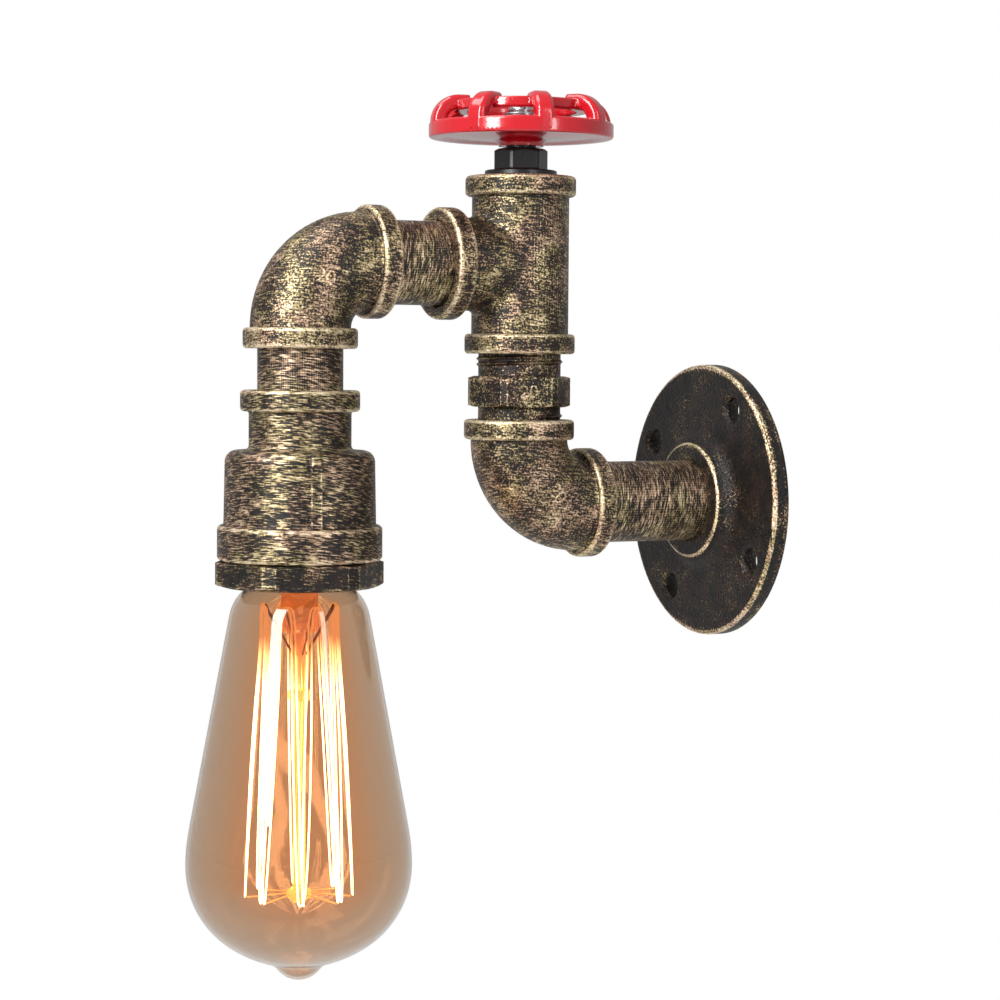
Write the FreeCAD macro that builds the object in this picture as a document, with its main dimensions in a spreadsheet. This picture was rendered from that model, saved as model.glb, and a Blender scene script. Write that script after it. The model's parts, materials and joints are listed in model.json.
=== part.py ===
# Industrial pipe wall light: a floor flange, 3/4 inch malleable iron fittings, a red handwheel
# and a bare teardrop lamp that hangs from the last fitting.
# Frame: the wall is the plane y = 0 and the light stands out towards -Y. The lower pipe runs
# along Y at z = 0, and every pipe axis lies in the plane x = 0. Millimetres.

import FreeCAD, Part
import math
import os
import Sketcher

os.makedirs("parts", exist_ok=True)
document = FreeCAD.newDocument("PipeWallLight")
sheet = document.addObject("Spreadsheet::Sheet", "sizes")
upright = FreeCAD.Vector(0, 0, 1)
parts = []

sizes = {
    # pipe axes
    "wallToRiser": 74.4,        # wall to the riser's axis
    "riserToHead": 76.7,        # riser's axis to the lamp's axis
    "branchHeight": 76.9,       # lower pipe's axis to the upper pipe's axis
    # pipe nipples and the threads that they go into
    "pipeOuter": 26.6,
    "pipeBore": 20.9,
    "pipeChamfer": 0.8,
    "threadReach": 11.0,        # how far a nipple goes into a fitting
    "threadPlay": 0.1,          # around a thread, per side
    "pinPlay": 0.1,             # around a small screw, rivet or lead, per side
    "socketSpare": 1.0,         # socket left over past the nipple's end
    # elbows and tee
    "fittingOuter": 31.3,
    "fittingBore": 23.4,
    "collarOuter": 35.6,
    "collarLength": 6.4,
    "collarRound": 1.2,
    "elbowReach": 27.3,         # centre to face
    "teeReach": 28.45,          # centre to the two faces of the run
    "teeBranchReach": 30.2,     # centre to the face of the branch
    "teeBranchOuter": 29.6,
    "teeBranchBore": 22.4,
    "teeBlend": 3.0,            # cast fillet where the branch leaves the run
    # wall flange
    "flangeOuter": 90.6,
    "flangePlate": 5.5,
    "flangeRound": 1.4,
    "hubHeight": 10.6,          # back face to hub face
    "hubOuter": 38.0,
    "hubFoot": 6.0,             # radius of the fillet round the hub
    "hubRound": 1.2,
    "screwCircle": 71.2,
    "screwHole": 7.6,
    "screwSink": 10.4,
    "screwSinkDepth": 1.4,
    "screwPhase": 58.6,         # first hole, from +X towards +Z, in degrees
    "nippleSetback": 1.0,       # nipple's end, in front of the wall
    # hex nipple in the riser
    "riserHexSpan": 30.0,       # across flats
    "riserHexTurned": 33.4,     # corners turned to this
    "riserHexHeight": 9.9,
    "riserThreadShown": 4.1,    # thread below the hexagon that stays in view
    "riserHexPhase": 15.0,
    "hexTrim": 0.16,            # height of a corner's chamfer, per mm that the corner stands out
    # black bushing on top of the tee
    "bushingLip": 23.2,
    "bushingLipHeight": 1.9,
    "bushingHexSpan": 15.4,
    "bushingHexTurned": 17.2,
    "bushingHexHeight": 6.9,
    "bushingHexPhase": 11.0,
    "bushingThread": 12.0,      # depth in the tee
    # spindle
    "spindleOuter": 7.0,
    "spindlePlay": 0.06,
    "spindleSquare": 5.2,
    "spindleShoulder": 9.6,
    "wheelGap": 0.4,            # bushing to shoulder
    "shoulderHeight": 0.5,
    "clipOuter": 10.6,
    "clipHeight": 1.0,
    "clipGap": 0.3,
    "clipMouth": 5.0,
    "clipGroove": 0.7,
    # handwheel
    "wheelOuter": 59.4,
    "wheelHub": 14.4,
    "wheelHubHeight": 9.6,
    "wheelLift": 2.4,           # hub's foot to the band's lower edge
    "wheelBand": 5.0,
    "wheelBandWall": 3.4,
    "wheelWeb": 2.6,
    "wheelRingOuter": 43.6,
    "wheelRingInner": 34.6,
    "wheelRingHeight": 3.3,
    "wheelTop": 15.8,           # hub's foot to the top of the humps
    "humpWidth": 6.2,
    "humpDepth": 4.6,
    "humpBend": 6.4,
    "humpStep": 1.7,            # humps stand this much above the ring
    "humpCount": 8,
    "wheelPhase": -12.5,
    "wheelScrewHead": 8.4,
    "wheelScrewHeadHeight": 2.2,
    "wheelScrewShank": 3.0,
    "wheelScrewLength": 8.0,
    "wheelScrewSlot": 0.9,
    "wheelScrewSlotDepth": 1.1,
    "washerOuter": 11.0,
    "washerHeight": 0.9,
    # reducer
    "dropShown": 12.8,          # nipple in view between elbow and reducer
    "reducerHeight": 52.6,
    "reducerTopOuter": 37.1,
    "reducerTopLength": 6.6,
    "reducerNeckOuter": 31.8,
    "reducerShoulder": 18.6,    # top face to shoulder
    "reducerShoulderRound": 3.6,
    "reducerNeckFillet": 1.6,
    "reducerBodyTop": 46.4,
    "reducerBodyFoot": 47.3,
    "reducerLowOuter": 51.2,
    "reducerLowLength": 10.8,
    "reducerRibWidth": 3.2,
    "reducerRibProud": 1.1,
    "reducerRibPhase": -11.0,
    "reducerSeat": 22.5,        # top face to the holder's seat
    "reducerChamber": 40.4,
    # retaining ring below the holder
    "ringHexSpan": 47.4,
    "ringHexTurned": 52.4,
    "ringHexHeight": 8.3,
    "ringHexPhase": 16.0,
    "ringBore": 40.0,
    "ringThread": 43.0,
    # lamp holder
    "holderOuter": 39.2,
    "holderHeight": 26.4,
    "holderFlange": 42.8,
    "holderFlangeHeight": 3.0,
    "holderFloor": 8.8,
    "holderCup": 29.0,
    "holderPocketWidth": 5.8,
    "holderPocketLength": 11.6,
    "holderPocketDepth": 5.4,
    "shellWall": 0.7,
    "shellPlay": 0.15,
    "shellLip": 5.6,
    "shellSetback": 1.0,
    "contactOuter": 8.0,
    "contactHeight": 1.0,
    "contactShank": 2.4,
    "contactRivet": 2.8,        # length of the rivet in the porcelain
    "contactGap": 0.3,
    # terminals and leads
    "terminalWidth": 5.0,
    "terminalLength": 10.8,
    "terminalHeight": 4.4,
    "terminalScrewHead": 3.8,
    "terminalScrewHeadHeight": 1.2,
    "terminalScrewShank": 2.4,
    "terminalScrewLength": 2.8,
    "terminalScrewAside": 3.6,  # from the lead's axis
    "terminalScrewSlot": 0.6,
    "leadOuter": 2.6,
    "leadSpacing": 6.8,
    "leadBend": 19.0,
    "leadEntry": 2.6,           # depth of a lead in its terminal
    # teardrop lamp
    "capOuter": 26.1,
    "capWall": 0.4,
    "capLength": 21.5,
    "capCrown": 2.6,
    "capCrownOuter": 12.0,
    "capTip": 9.0,
    "capTipHeight": 1.9,
    "insulatorRim": 1.2,
    "neckShoulder": 8.8,        # cone's upper end, outside the cap
    "glassNeck": 24.9,
    "glassWall": 0.8,
    "glassNeckLength": 9.0,     # glass inside the cap
    "bulbOuter": 70.6,
    "bulbLength": 151.8,        # contact to tip
    "bulbWidest": 115.7,        # contact to the widest place
    "bulbTaper": 10.54,         # slope of the long cone, in degrees
    "neckCurve": 14.5,
    "neckDrop": 37.5,           # contact to the end of the cone
    "hipCurve": 29.8,
    "bellyCurve": 39.2,
    "pipCurve": 8.5,
    "pipFillet": 8.0,
    # glass mount and filament
    "mountFlare": 22.4,
    "mountDrop": 21.0,          # contact to the flare's top
    "pressWidth": 11.8,
    "pressDepth": 4.4,
    "pressTop": 30.4,
    "pressFoot": 42.5,
    "rodOuter": 4.0,
    "anchorDrop": 7.0,          # press to where the upper supports leave the rod
    "leadInSpacing": 7.2,
    "beadOuter": 7.6,
    "beadHeight": 3.4,
    "upperBead": 62.3,
    "lowerBead": 124.6,
    "cageTop": 34.2,
    "cageFoot": 125.8,
    "cageTopRadius": 12.2,
    "cageFootRadius": 16.8,
    "cageHooks": 8,
    "filamentWire": 0.5,
    "supportWire": 0.6,
}

for row, (name, size) in enumerate(sizes.items(), start=1):
    sheet.set("A%d" % row, name)
    sheet.set("B%d" % row, str(size))
    sheet.setAlias("B%d" % row, name)
document.recompute()


def size(name):
    return float(sheet.get(name))


# ---- sketches and features -------------------------------------------------------------------

def originOf(body, role):
    return next(item for item in body.Origin.OriginFeatures if item.Role == role)


def newBody(label, x="0", y="0", z="0", turn=None):
    # a named piece, placed by expressions; turn is a rotation of the piece about its own origin
    body = document.addObject("PartDesign::Body", label)
    body.Label = label
    if turn is not None:
        body.Placement = FreeCAD.Placement(FreeCAD.Vector(0, 0, 0), turn)
    for axis, place in zip("xyz", (x, y, z)):
        body.setExpression("Placement.Base." + axis, place)
    parts.append(body)
    return body


def newSketch(body, role, offset=None):
    sketch = body.newObject("Sketcher::SketchObject", body.Label + "_sketch")
    sketch.AttachmentSupport = [(originOf(body, role), "")]
    sketch.MapMode = "FlatFace"
    if offset is not None:
        sketch.setExpression("AttachmentOffset.Base.z", offset)
    return sketch


def bind(sketch, constraint, text):
    index = sketch.addConstraint(constraint)
    sketch.setExpression("Constraints[%d]" % index, text)


def bindPoint(sketch, item, end, across, up):
    where = sketch.getPoint(item, end)
    bind(sketch, Sketcher.Constraint("DistanceX", -1, 1, item, end, where.x), across)
    bind(sketch, Sketcher.Constraint("DistanceY", -1, 1, item, end, where.y), up)


def drawOutline(sketch, corners):
    # closed outline through corners (across, up) or (across, up, rounding), all of them expressions
    points = []
    for corner in corners:
        across = float(sketch.evalExpression(corner[0]))
        up = float(sketch.evalExpression(corner[1]))
        points.append(FreeCAD.Vector(across, up, 0))
    leave = list(points)
    reach = list(points)
    arcs = {}
    count = len(points)
    for index, corner in enumerate(corners):
        if len(corner) < 3:
            continue
        radius = float(sketch.evalExpression(corner[2]))
        back = (points[index - 1] - points[index]).normalize()
        ahead = (points[(index + 1) % count] - points[index]).normalize()
        half = back.getAngle(ahead) / 2
        reach[index] = points[index] + back * (radius / math.tan(half))
        leave[index] = points[index] + ahead * (radius / math.tan(half))
        centre = points[index] + (back + ahead).normalize() * (radius / math.sin(half))
        left = back.cross(ahead).z < 0
        first, last = (reach[index], leave[index]) if left else (leave[index], reach[index])
        angles = [math.atan2(p.y - centre.y, p.x - centre.x) for p in (first, last)]
        circle = Part.Circle(centre, upright, radius)
        arcs[index] = (Part.ArcOfCircle(circle, angles[0], angles[1]), left)
    lines = []
    for index in range(count):
        line = Part.LineSegment(leave[index], reach[(index + 1) % count])
        lines.append(sketch.addGeometry(line, False))
    for index, corner in enumerate(corners):
        incoming, outgoing = lines[index - 1], lines[index]
        if index not in arcs:
            sketch.addConstraint(Sketcher.Constraint("Coincident", incoming, 2, outgoing, 1))
            bindPoint(sketch, outgoing, 1, corner[0], corner[1])
            continue
        arc, left = arcs[index]
        bend = sketch.addGeometry(arc, False)
        start, stop = (1, 2) if left else (2, 1)
        sketch.addConstraint(Sketcher.Constraint("Tangent", incoming, 2, bend, start))
        sketch.addConstraint(Sketcher.Constraint("Tangent", bend, stop, outgoing, 1))
        mark = sketch.addGeometry(Part.Point(points[index]), True)
        sketch.addConstraint(Sketcher.Constraint("PointOnObject", mark, 1, incoming))
        sketch.addConstraint(Sketcher.Constraint("PointOnObject", mark, 1, outgoing))
        bindPoint(sketch, mark, 1, corner[0], corner[1])
        bind(sketch, Sketcher.Constraint("Radius", bend, arc.Radius), corner[2])


def drawCircle(sketch, diameter, across="0", up="0"):
    centre = FreeCAD.Vector(float(sketch.evalExpression(across)), float(sketch.evalExpression(up)), 0)
    radius = float(sketch.evalExpression(diameter)) / 2
    ring = sketch.addGeometry(Part.Circle(centre, upright, radius), False)
    bindPoint(sketch, ring, 3, across, up)
    bind(sketch, Sketcher.Constraint("Diameter", ring, radius * 2), diameter)


def finish(feature, body):
    document.recompute()
    body.Tip = feature
    return feature


def turned(body, corners, role="XZ_Plane", axis="V_Axis", cut=False):
    # a full turn of an outline about an axis of its sketch, added or cut
    sketch = newSketch(body, role)
    drawOutline(sketch, corners)
    kind = "PartDesign::Groove" if cut else "PartDesign::Revolution"
    feature = body.newObject(kind, body.Label + ("_bore" if cut else "_turned"))
    feature.Profile = sketch
    feature.ReferenceAxis = (sketch, [axis])
    feature.Angle = 360
    return finish(feature, body)


def prism(body, sketch, length, cut=False, midplane=False, reverse=False):
    kind = "PartDesign::Pocket" if cut else "PartDesign::Pad"
    feature = body.newObject(kind, body.Label + ("_pocket" if cut else "_pad"))
    feature.Profile = sketch
    feature.setExpression("Length", length)
    if midplane:
        feature.SideType = "Symmetric"
    feature.Reversed = reverse
    return finish(feature, body)


def repeated(body, original, count):
    feature = body.newObject("PartDesign::PolarPattern", body.Label + "_repeated")
    feature.Originals = [original]
    feature.Axis = (originOf(body, "Z_Axis"), [""])
    feature.Angle = 360
    feature.setExpression("Occurrences", count)
    return finish(feature, body)


def hexagonPad(body, span, foot, height):
    # hexagon across flats, corner on the sketch's X axis, from foot upwards
    sketch = newSketch(body, "XY_Plane", foot)
    radius = float(sketch.evalExpression(span)) / math.sqrt(3)
    points = []
    for side in range(6):
        turn = math.radians(60 * side)
        points.append(FreeCAD.Vector(radius * math.cos(turn), radius * math.sin(turn), 0))
    lines = []
    for side in range(6):
        lines.append(sketch.addGeometry(Part.LineSegment(points[side], points[(side + 1) % 6]), False))
    guide = sketch.addGeometry(Part.Circle(FreeCAD.Vector(0, 0, 0), upright, radius), True)
    sketch.addConstraint(Sketcher.Constraint("Coincident", guide, 3, -1, 1))
    for side in range(6):
        following = lines[(side + 1) % 6]
        sketch.addConstraint(Sketcher.Constraint("Coincident", lines[side], 2, following, 1))
        sketch.addConstraint(Sketcher.Constraint("PointOnObject", lines[side], 1, guide))
        if side:
            sketch.addConstraint(Sketcher.Constraint("Equal", lines[0], lines[side]))
    sketch.addConstraint(Sketcher.Constraint("PointOnObject", lines[0], 1, -1))
    bind(sketch, Sketcher.Constraint("Radius", guide, radius), "(%s) / sqrt(3)" % span)
    return prism(body, sketch, height)


def trimCorners(body, turnedTo, foot, top, span):
    # the corners of a hexagon turned down, with a flat chamfer at both faces
    far = "(%s)" % span
    for face, inside in ((foot, "+"), (top, "-")):
        edge = "(%s) %s ((%s) - (%s)) * sizes.hexTrim" % (face, inside, turnedTo, span)
        turned(body, [
            ("(%s) / 2" % turnedTo, edge),
            ("(%s) / 2 - 0.3" % span, face),
            (far, face),
            (far, edge),
        ], cut=True)
    turned(body, [
        ("(%s) / 2" % turnedTo, foot),
        (far, foot),
        (far, top),
        ("(%s) / 2" % turnedTo, top),
    ], cut=True)


# ---- pipes and fittings -----------------------------------------------------------------------

def tube(label, length, x="0", y="0", z="0", turn=None):
    # a pipe nipple from its own origin along +Z
    body = newBody(label, x, y, z, turn)
    half = "sizes.pipeOuter / 2"
    turned(body, [
        ("sizes.pipeBore / 2", "0"),
        (half + " - sizes.pipeChamfer", "0"),
        (half, "sizes.pipeChamfer"),
        (half, "(%s) - sizes.pipeChamfer" % length),
        (half + " - sizes.pipeChamfer", length),
        ("sizes.pipeBore / 2", length),
    ])
    return body


def socketBore(body, reach, role="XZ_Plane", axis="V_Axis", sign=1):
    # the threaded mouth of a fitting, from its face inwards, with a small lead-in
    mouth = "sizes.pipeOuter / 2 + sizes.threadPlay"
    face = "%d * (%s)" % (sign, reach)
    inner = "%d * (%s - sizes.threadReach - sizes.socketSpare)" % (sign, reach)
    lead = "%d * (%s - sizes.pipeChamfer)" % (sign, reach)
    corners = [("0", inner), (mouth, inner), (mouth, lead), (mouth + " + sizes.pipeChamfer", face), ("0", face)]
    if axis == "H_Axis":
        corners = [(up, across) for across, up in corners]
    return turned(body, corners, role, axis, cut=True)


def collar(body, reach, outer="sizes.collarOuter", role="XZ_Plane", axis="V_Axis", sign=1):
    # the raised band round a fitting's mouth
    face = "%d * (%s)" % (sign, reach)
    back = "%d * (%s - sizes.collarLength)" % (sign, reach)
    corners = [
        ("0", back),
        (outer + " / 2", back, "sizes.collarRound"),
        (outer + " / 2", face, "sizes.collarRound"),
        ("0", face),
    ]
    if axis == "H_Axis":
        corners = [(item[1], item[0]) + tuple(item[2:]) for item in corners]
    return turned(body, corners, role, axis)


def bendPipe(body, diameter, cut=False):
    # quarter torus from the mouth on +Z to the mouth on +Y
    bend = "sizes.elbowReach - sizes.collarLength"
    radius = size("elbowReach") - size("collarLength")
    path = newSketch(body, "YZ_Plane")
    centre = FreeCAD.Vector(radius, radius, 0)
    arc = Part.ArcOfCircle(Part.Circle(centre, upright, radius), math.pi, 1.5 * math.pi)
    spine = path.addGeometry(arc, False)
    bindPoint(path, spine, 3, bend, bend)
    bind(path, Sketcher.Constraint("Radius", spine, radius), bend)
    path.addConstraint(Sketcher.Constraint("Horizontal", spine, 1, spine, 3))
    path.addConstraint(Sketcher.Constraint("Vertical", spine, 2, spine, 3))
    section = newSketch(body, "XY_Plane", bend)
    drawCircle(section, diameter)
    document.recompute()
    kind = "PartDesign::SubtractivePipe" if cut else "PartDesign::AdditivePipe"
    feature = body.newObject(kind, body.Label + ("_passage" if cut else "_bend"))
    feature.Profile = section
    feature.Spine = (path, ["Edge1"])
    return finish(feature, body)


def elbow(label, y, z, turn=None):
    # 90 degree elbow, centre at its origin, mouths on +Z and +Y
    body = newBody(label, "0", y, z, turn)
    bendPipe(body, "sizes.fittingOuter")
    collar(body, "sizes.elbowReach")
    collar(body, "sizes.elbowReach", role="YZ_Plane", axis="H_Axis")
    bendPipe(body, "sizes.fittingBore", cut=True)
    socketBore(body, "sizes.elbowReach")
    socketBore(body, "sizes.elbowReach", "YZ_Plane", "H_Axis")
    return body


def tee():
    # run along Z, branch on -Y, centre at its origin
    body = newBody("tee", "0", "-sizes.wallToRiser", "sizes.branchHeight")
    half = "sizes.fittingOuter / 2"
    turned(body, [
        ("0", "-sizes.teeReach + sizes.collarLength / 2"),
        (half, "-sizes.teeReach + sizes.collarLength / 2"),
        (half, "sizes.teeReach - sizes.collarLength / 2"),
        ("0", "sizes.teeReach - sizes.collarLength / 2"),
    ])
    turned(body, [
        ("-sizes.teeBranchReach + sizes.collarLength / 2", "0"),
        ("-sizes.teeBranchReach + sizes.collarLength / 2", "sizes.teeBranchOuter / 2"),
        ("0", "sizes.teeBranchOuter / 2"),
        ("0", "0"),
    ], "YZ_Plane", "H_Axis")
    saddle = []
    for number, edge in enumerate(body.Shape.Edges, start=1):
        if edge.Curve.TypeId not in ("Part::GeomLine", "Part::GeomCircle"):
            saddle.append("Edge%d" % number)
    cross = body.Tip
    blend = body.newObject("PartDesign::Fillet", "tee_blend")
    blend.Base = (cross, saddle)
    blend.setExpression("Radius", "sizes.teeBlend")
    finish(blend, body)
    collar(body, "sizes.teeReach")
    collar(body, "sizes.teeReach", sign=-1)
    collar(body, "sizes.teeBranchReach", role="YZ_Plane", axis="H_Axis", sign=-1)
    turned(body, [
        ("0", "-sizes.teeReach"),
        ("sizes.fittingBore / 2", "-sizes.teeReach"),
        ("sizes.fittingBore / 2", "sizes.teeReach"),
        ("0", "sizes.teeReach"),
    ], cut=True)
    turned(body, [
        ("-sizes.teeBranchReach", "0"),
        ("-sizes.teeBranchReach", "sizes.teeBranchBore / 2"),
        ("0", "sizes.teeBranchBore / 2"),
        ("0", "0"),
    ], "YZ_Plane", "H_Axis", cut=True)
    socketBore(body, "sizes.teeReach")
    socketBore(body, "sizes.teeReach", sign=-1)
    socketBore(body, "sizes.teeBranchReach", "YZ_Plane", "H_Axis", sign=-1)
    return body


def wallFlange():
    # round floor flange; its own +Z points away from the wall
    lean = FreeCAD.Rotation(FreeCAD.Vector(1, 0, 0), 90)
    spin = FreeCAD.Rotation(upright, size("screwPhase"))
    body = newBody("wall_flange", turn=lean.multiply(spin))
    bore = "sizes.pipeOuter / 2 + sizes.threadPlay"
    turned(body, [
        (bore, "0"),
        ("sizes.flangeOuter / 2", "0"),
        ("sizes.flangeOuter / 2", "sizes.flangePlate", "sizes.flangeRound"),
        ("sizes.hubOuter / 2 + 2", "sizes.flangePlate", "sizes.hubFoot"),
        ("sizes.hubOuter / 2", "sizes.hubHeight", "sizes.hubRound"),
        (bore, "sizes.hubHeight"),
    ])
    sketch = newSketch(body, "XZ_Plane")
    axle = "sizes.screwCircle / 2"
    drawOutline(sketch, [
        (axle, "0"),
        (axle + " + sizes.screwHole / 2", "0"),
        (axle + " + sizes.screwHole / 2", "sizes.flangePlate - sizes.screwSinkDepth"),
        (axle + " + sizes.screwSink / 2", "sizes.flangePlate"),
        (axle, "sizes.flangePlate"),
    ])
    spine = len(sketch.Geometry)
    line = Part.LineSegment(FreeCAD.Vector(size("screwCircle") / 2, 0, 0),
                            FreeCAD.Vector(size("screwCircle") / 2, size("flangePlate"), 0))
    sketch.addGeometry(line, True)
    bindPoint(sketch, spine, 1, axle, "0")
    bindPoint(sketch, spine, 2, axle, "sizes.flangePlate")
    hole = body.newObject("PartDesign::Groove", "flange_hole")
    hole.Profile = sketch
    hole.ReferenceAxis = (sketch, ["Axis0"])
    hole.Angle = 360
    finish(hole, body)
    repeated(body, hole, "4")
    return body


def hexNipple():
    # short nipple with a hexagon; its origin is on the lower elbow's upper face
    spin = FreeCAD.Rotation(upright, size("riserHexPhase"))
    body = newBody("hex_nipple", "0", "-sizes.wallToRiser", "sizes.elbowReach", spin)
    half = "sizes.pipeOuter / 2"
    top = "sizes.branchHeight - sizes.teeReach - sizes.elbowReach + sizes.threadReach"
    turned(body, [
        ("sizes.pipeBore / 2", "-sizes.threadReach"),
        (half + " - sizes.pipeChamfer", "-sizes.threadReach"),
        (half, "-sizes.threadReach + sizes.pipeChamfer"),
        (half, "(%s) - sizes.pipeChamfer" % top),
        (half + " - sizes.pipeChamfer", top),
        ("sizes.pipeBore / 2", top),
    ])
    hexagonPad(body, "sizes.riserHexSpan", "sizes.riserThreadShown", "sizes.riserHexHeight")
    trimCorners(body, "sizes.riserHexTurned", "sizes.riserThreadShown",
                "sizes.riserThreadShown + sizes.riserHexHeight", "sizes.riserHexSpan")
    turned(body, [
        ("0", "-sizes.threadReach"),
        ("sizes.pipeBore / 2", "-sizes.threadReach"),
        ("sizes.pipeBore / 2", top),
        ("0", top),
    ], cut=True)
    return body


# ---- spindle and handwheel ---------------------------------------------------------------------

teeTop = "sizes.branchHeight + sizes.teeReach"
bushingTop = teeTop + " + sizes.bushingLipHeight + sizes.bushingHexHeight"
wheelFoot = bushingTop + " + sizes.wheelGap + sizes.shoulderHeight"


def stemBushing():
    # black hexagon bushing; its origin is on the tee's upper face
    spin = FreeCAD.Rotation(upright, size("bushingHexPhase"))
    body = newBody("stem_bushing", "0", "-sizes.wallToRiser", teeTop, spin)
    half = "sizes.pipeOuter / 2"
    turned(body, [
        ("0", "-sizes.bushingThread"),
        (half + " - sizes.pipeChamfer", "-sizes.bushingThread"),
        (half, "-sizes.bushingThread + sizes.pipeChamfer"),
        (half, "-sizes.pipeChamfer"),
        ("sizes.bushingLip / 2", "-sizes.pipeChamfer"),
        ("sizes.bushingLip / 2", "sizes.bushingLipHeight", "0.5"),
        ("0", "sizes.bushingLipHeight"),
    ])
    top = "sizes.bushingLipHeight + sizes.bushingHexHeight"
    hexagonPad(body, "sizes.bushingHexSpan", "sizes.bushingLipHeight", "sizes.bushingHexHeight")
    turned(body, [
        ("sizes.bushingHexTurned / 2", "sizes.bushingLipHeight"),
        ("sizes.bushingHexSpan", "sizes.bushingLipHeight"),
        ("sizes.bushingHexSpan", top),
        ("sizes.bushingHexSpan / 2 - 0.2", top),
        ("sizes.bushingHexTurned / 2", top + " - 0.6"),
    ], cut=True)
    turned(body, [
        ("0", "-sizes.bushingThread"),
        ("sizes.spindleOuter / 2 + sizes.spindlePlay", "-sizes.bushingThread"),
        ("sizes.spindleOuter / 2 + sizes.spindlePlay", top),
        ("0", top),
    ], cut=True)
    return body


def valveSpindle():
    # round journal in the bushing, square end in the wheel; its origin is under the wheel's hub
    spin = FreeCAD.Rotation(upright, size("wheelPhase"))
    body = newBody("valve_spindle", "0", "-sizes.wallToRiser", wheelFoot, spin)
    clip = "sizes.shoulderHeight + sizes.wheelGap + sizes.bushingHexHeight + sizes.bushingLipHeight" \
           " + sizes.bushingThread + sizes.clipGap"
    round_ = "sizes.spindleOuter / 2"
    groove = round_ + " - sizes.clipGroove"
    turned(body, [
        ("0", "-(%s) - sizes.clipHeight - 2" % clip),
        (round_ + " - 0.6", "-(%s) - sizes.clipHeight - 2" % clip),
        (round_, "-(%s) - sizes.clipHeight - 1.4" % clip),
        (round_, "-(%s) - sizes.clipHeight" % clip),
        (groove, "-(%s) - sizes.clipHeight" % clip),
        (groove, "-(%s)" % clip),
        (round_, "-(%s)" % clip),
        (round_, "-sizes.shoulderHeight"),
        ("sizes.spindleShoulder / 2", "-sizes.shoulderHeight"),
        ("sizes.spindleShoulder / 2", "0"),
        ("0", "0"),
    ])
    sketch = newSketch(body, "XY_Plane")
    side = "sizes.spindleSquare / 2"
    drawOutline(sketch, [("-" + side, "-" + side), (side, "-" + side), (side, side), ("-" + side, side)])
    prism(body, sketch, "sizes.wheelHubHeight - 0.3")
    turned(body, [
        ("0", "sizes.wheelHubHeight - sizes.wheelScrewLength - 0.8"),
        ("sizes.wheelScrewShank / 2 + 0.1", "sizes.wheelHubHeight - sizes.wheelScrewLength - 0.8"),
        ("sizes.wheelScrewShank / 2 + 0.1", "sizes.wheelHubHeight"),
        ("0", "sizes.wheelHubHeight"),
    ], cut=True)
    return body


def spindleClip():
    # open retaining clip in the spindle's groove, below the bushing
    drop = "sizes.bushingThread + sizes.clipGap + sizes.clipHeight"
    spin = FreeCAD.Rotation(upright, size("wheelPhase"))
    body = newBody("spindle_clip", "0", "-sizes.wallToRiser", "%s - (%s)" % (teeTop, drop), spin)
    inner = "sizes.spindleOuter / 2 - sizes.clipGroove + 0.05"
    turned(body, [
        (inner, "0.03"),
        ("sizes.clipOuter / 2", "0.03"),
        ("sizes.clipOuter / 2", "sizes.clipHeight - 0.03"),
        (inner, "sizes.clipHeight - 0.03"),
    ])
    sketch = newSketch(body, "XY_Plane")
    half = "sizes.clipMouth / 2"
    drawOutline(sketch, [("0", "-" + half), ("sizes.clipOuter", "-" + half), ("sizes.clipOuter", half), ("0", half)])
    prism(body, sketch, "3 * sizes.clipHeight", cut=True, midplane=True)
    return body


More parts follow.
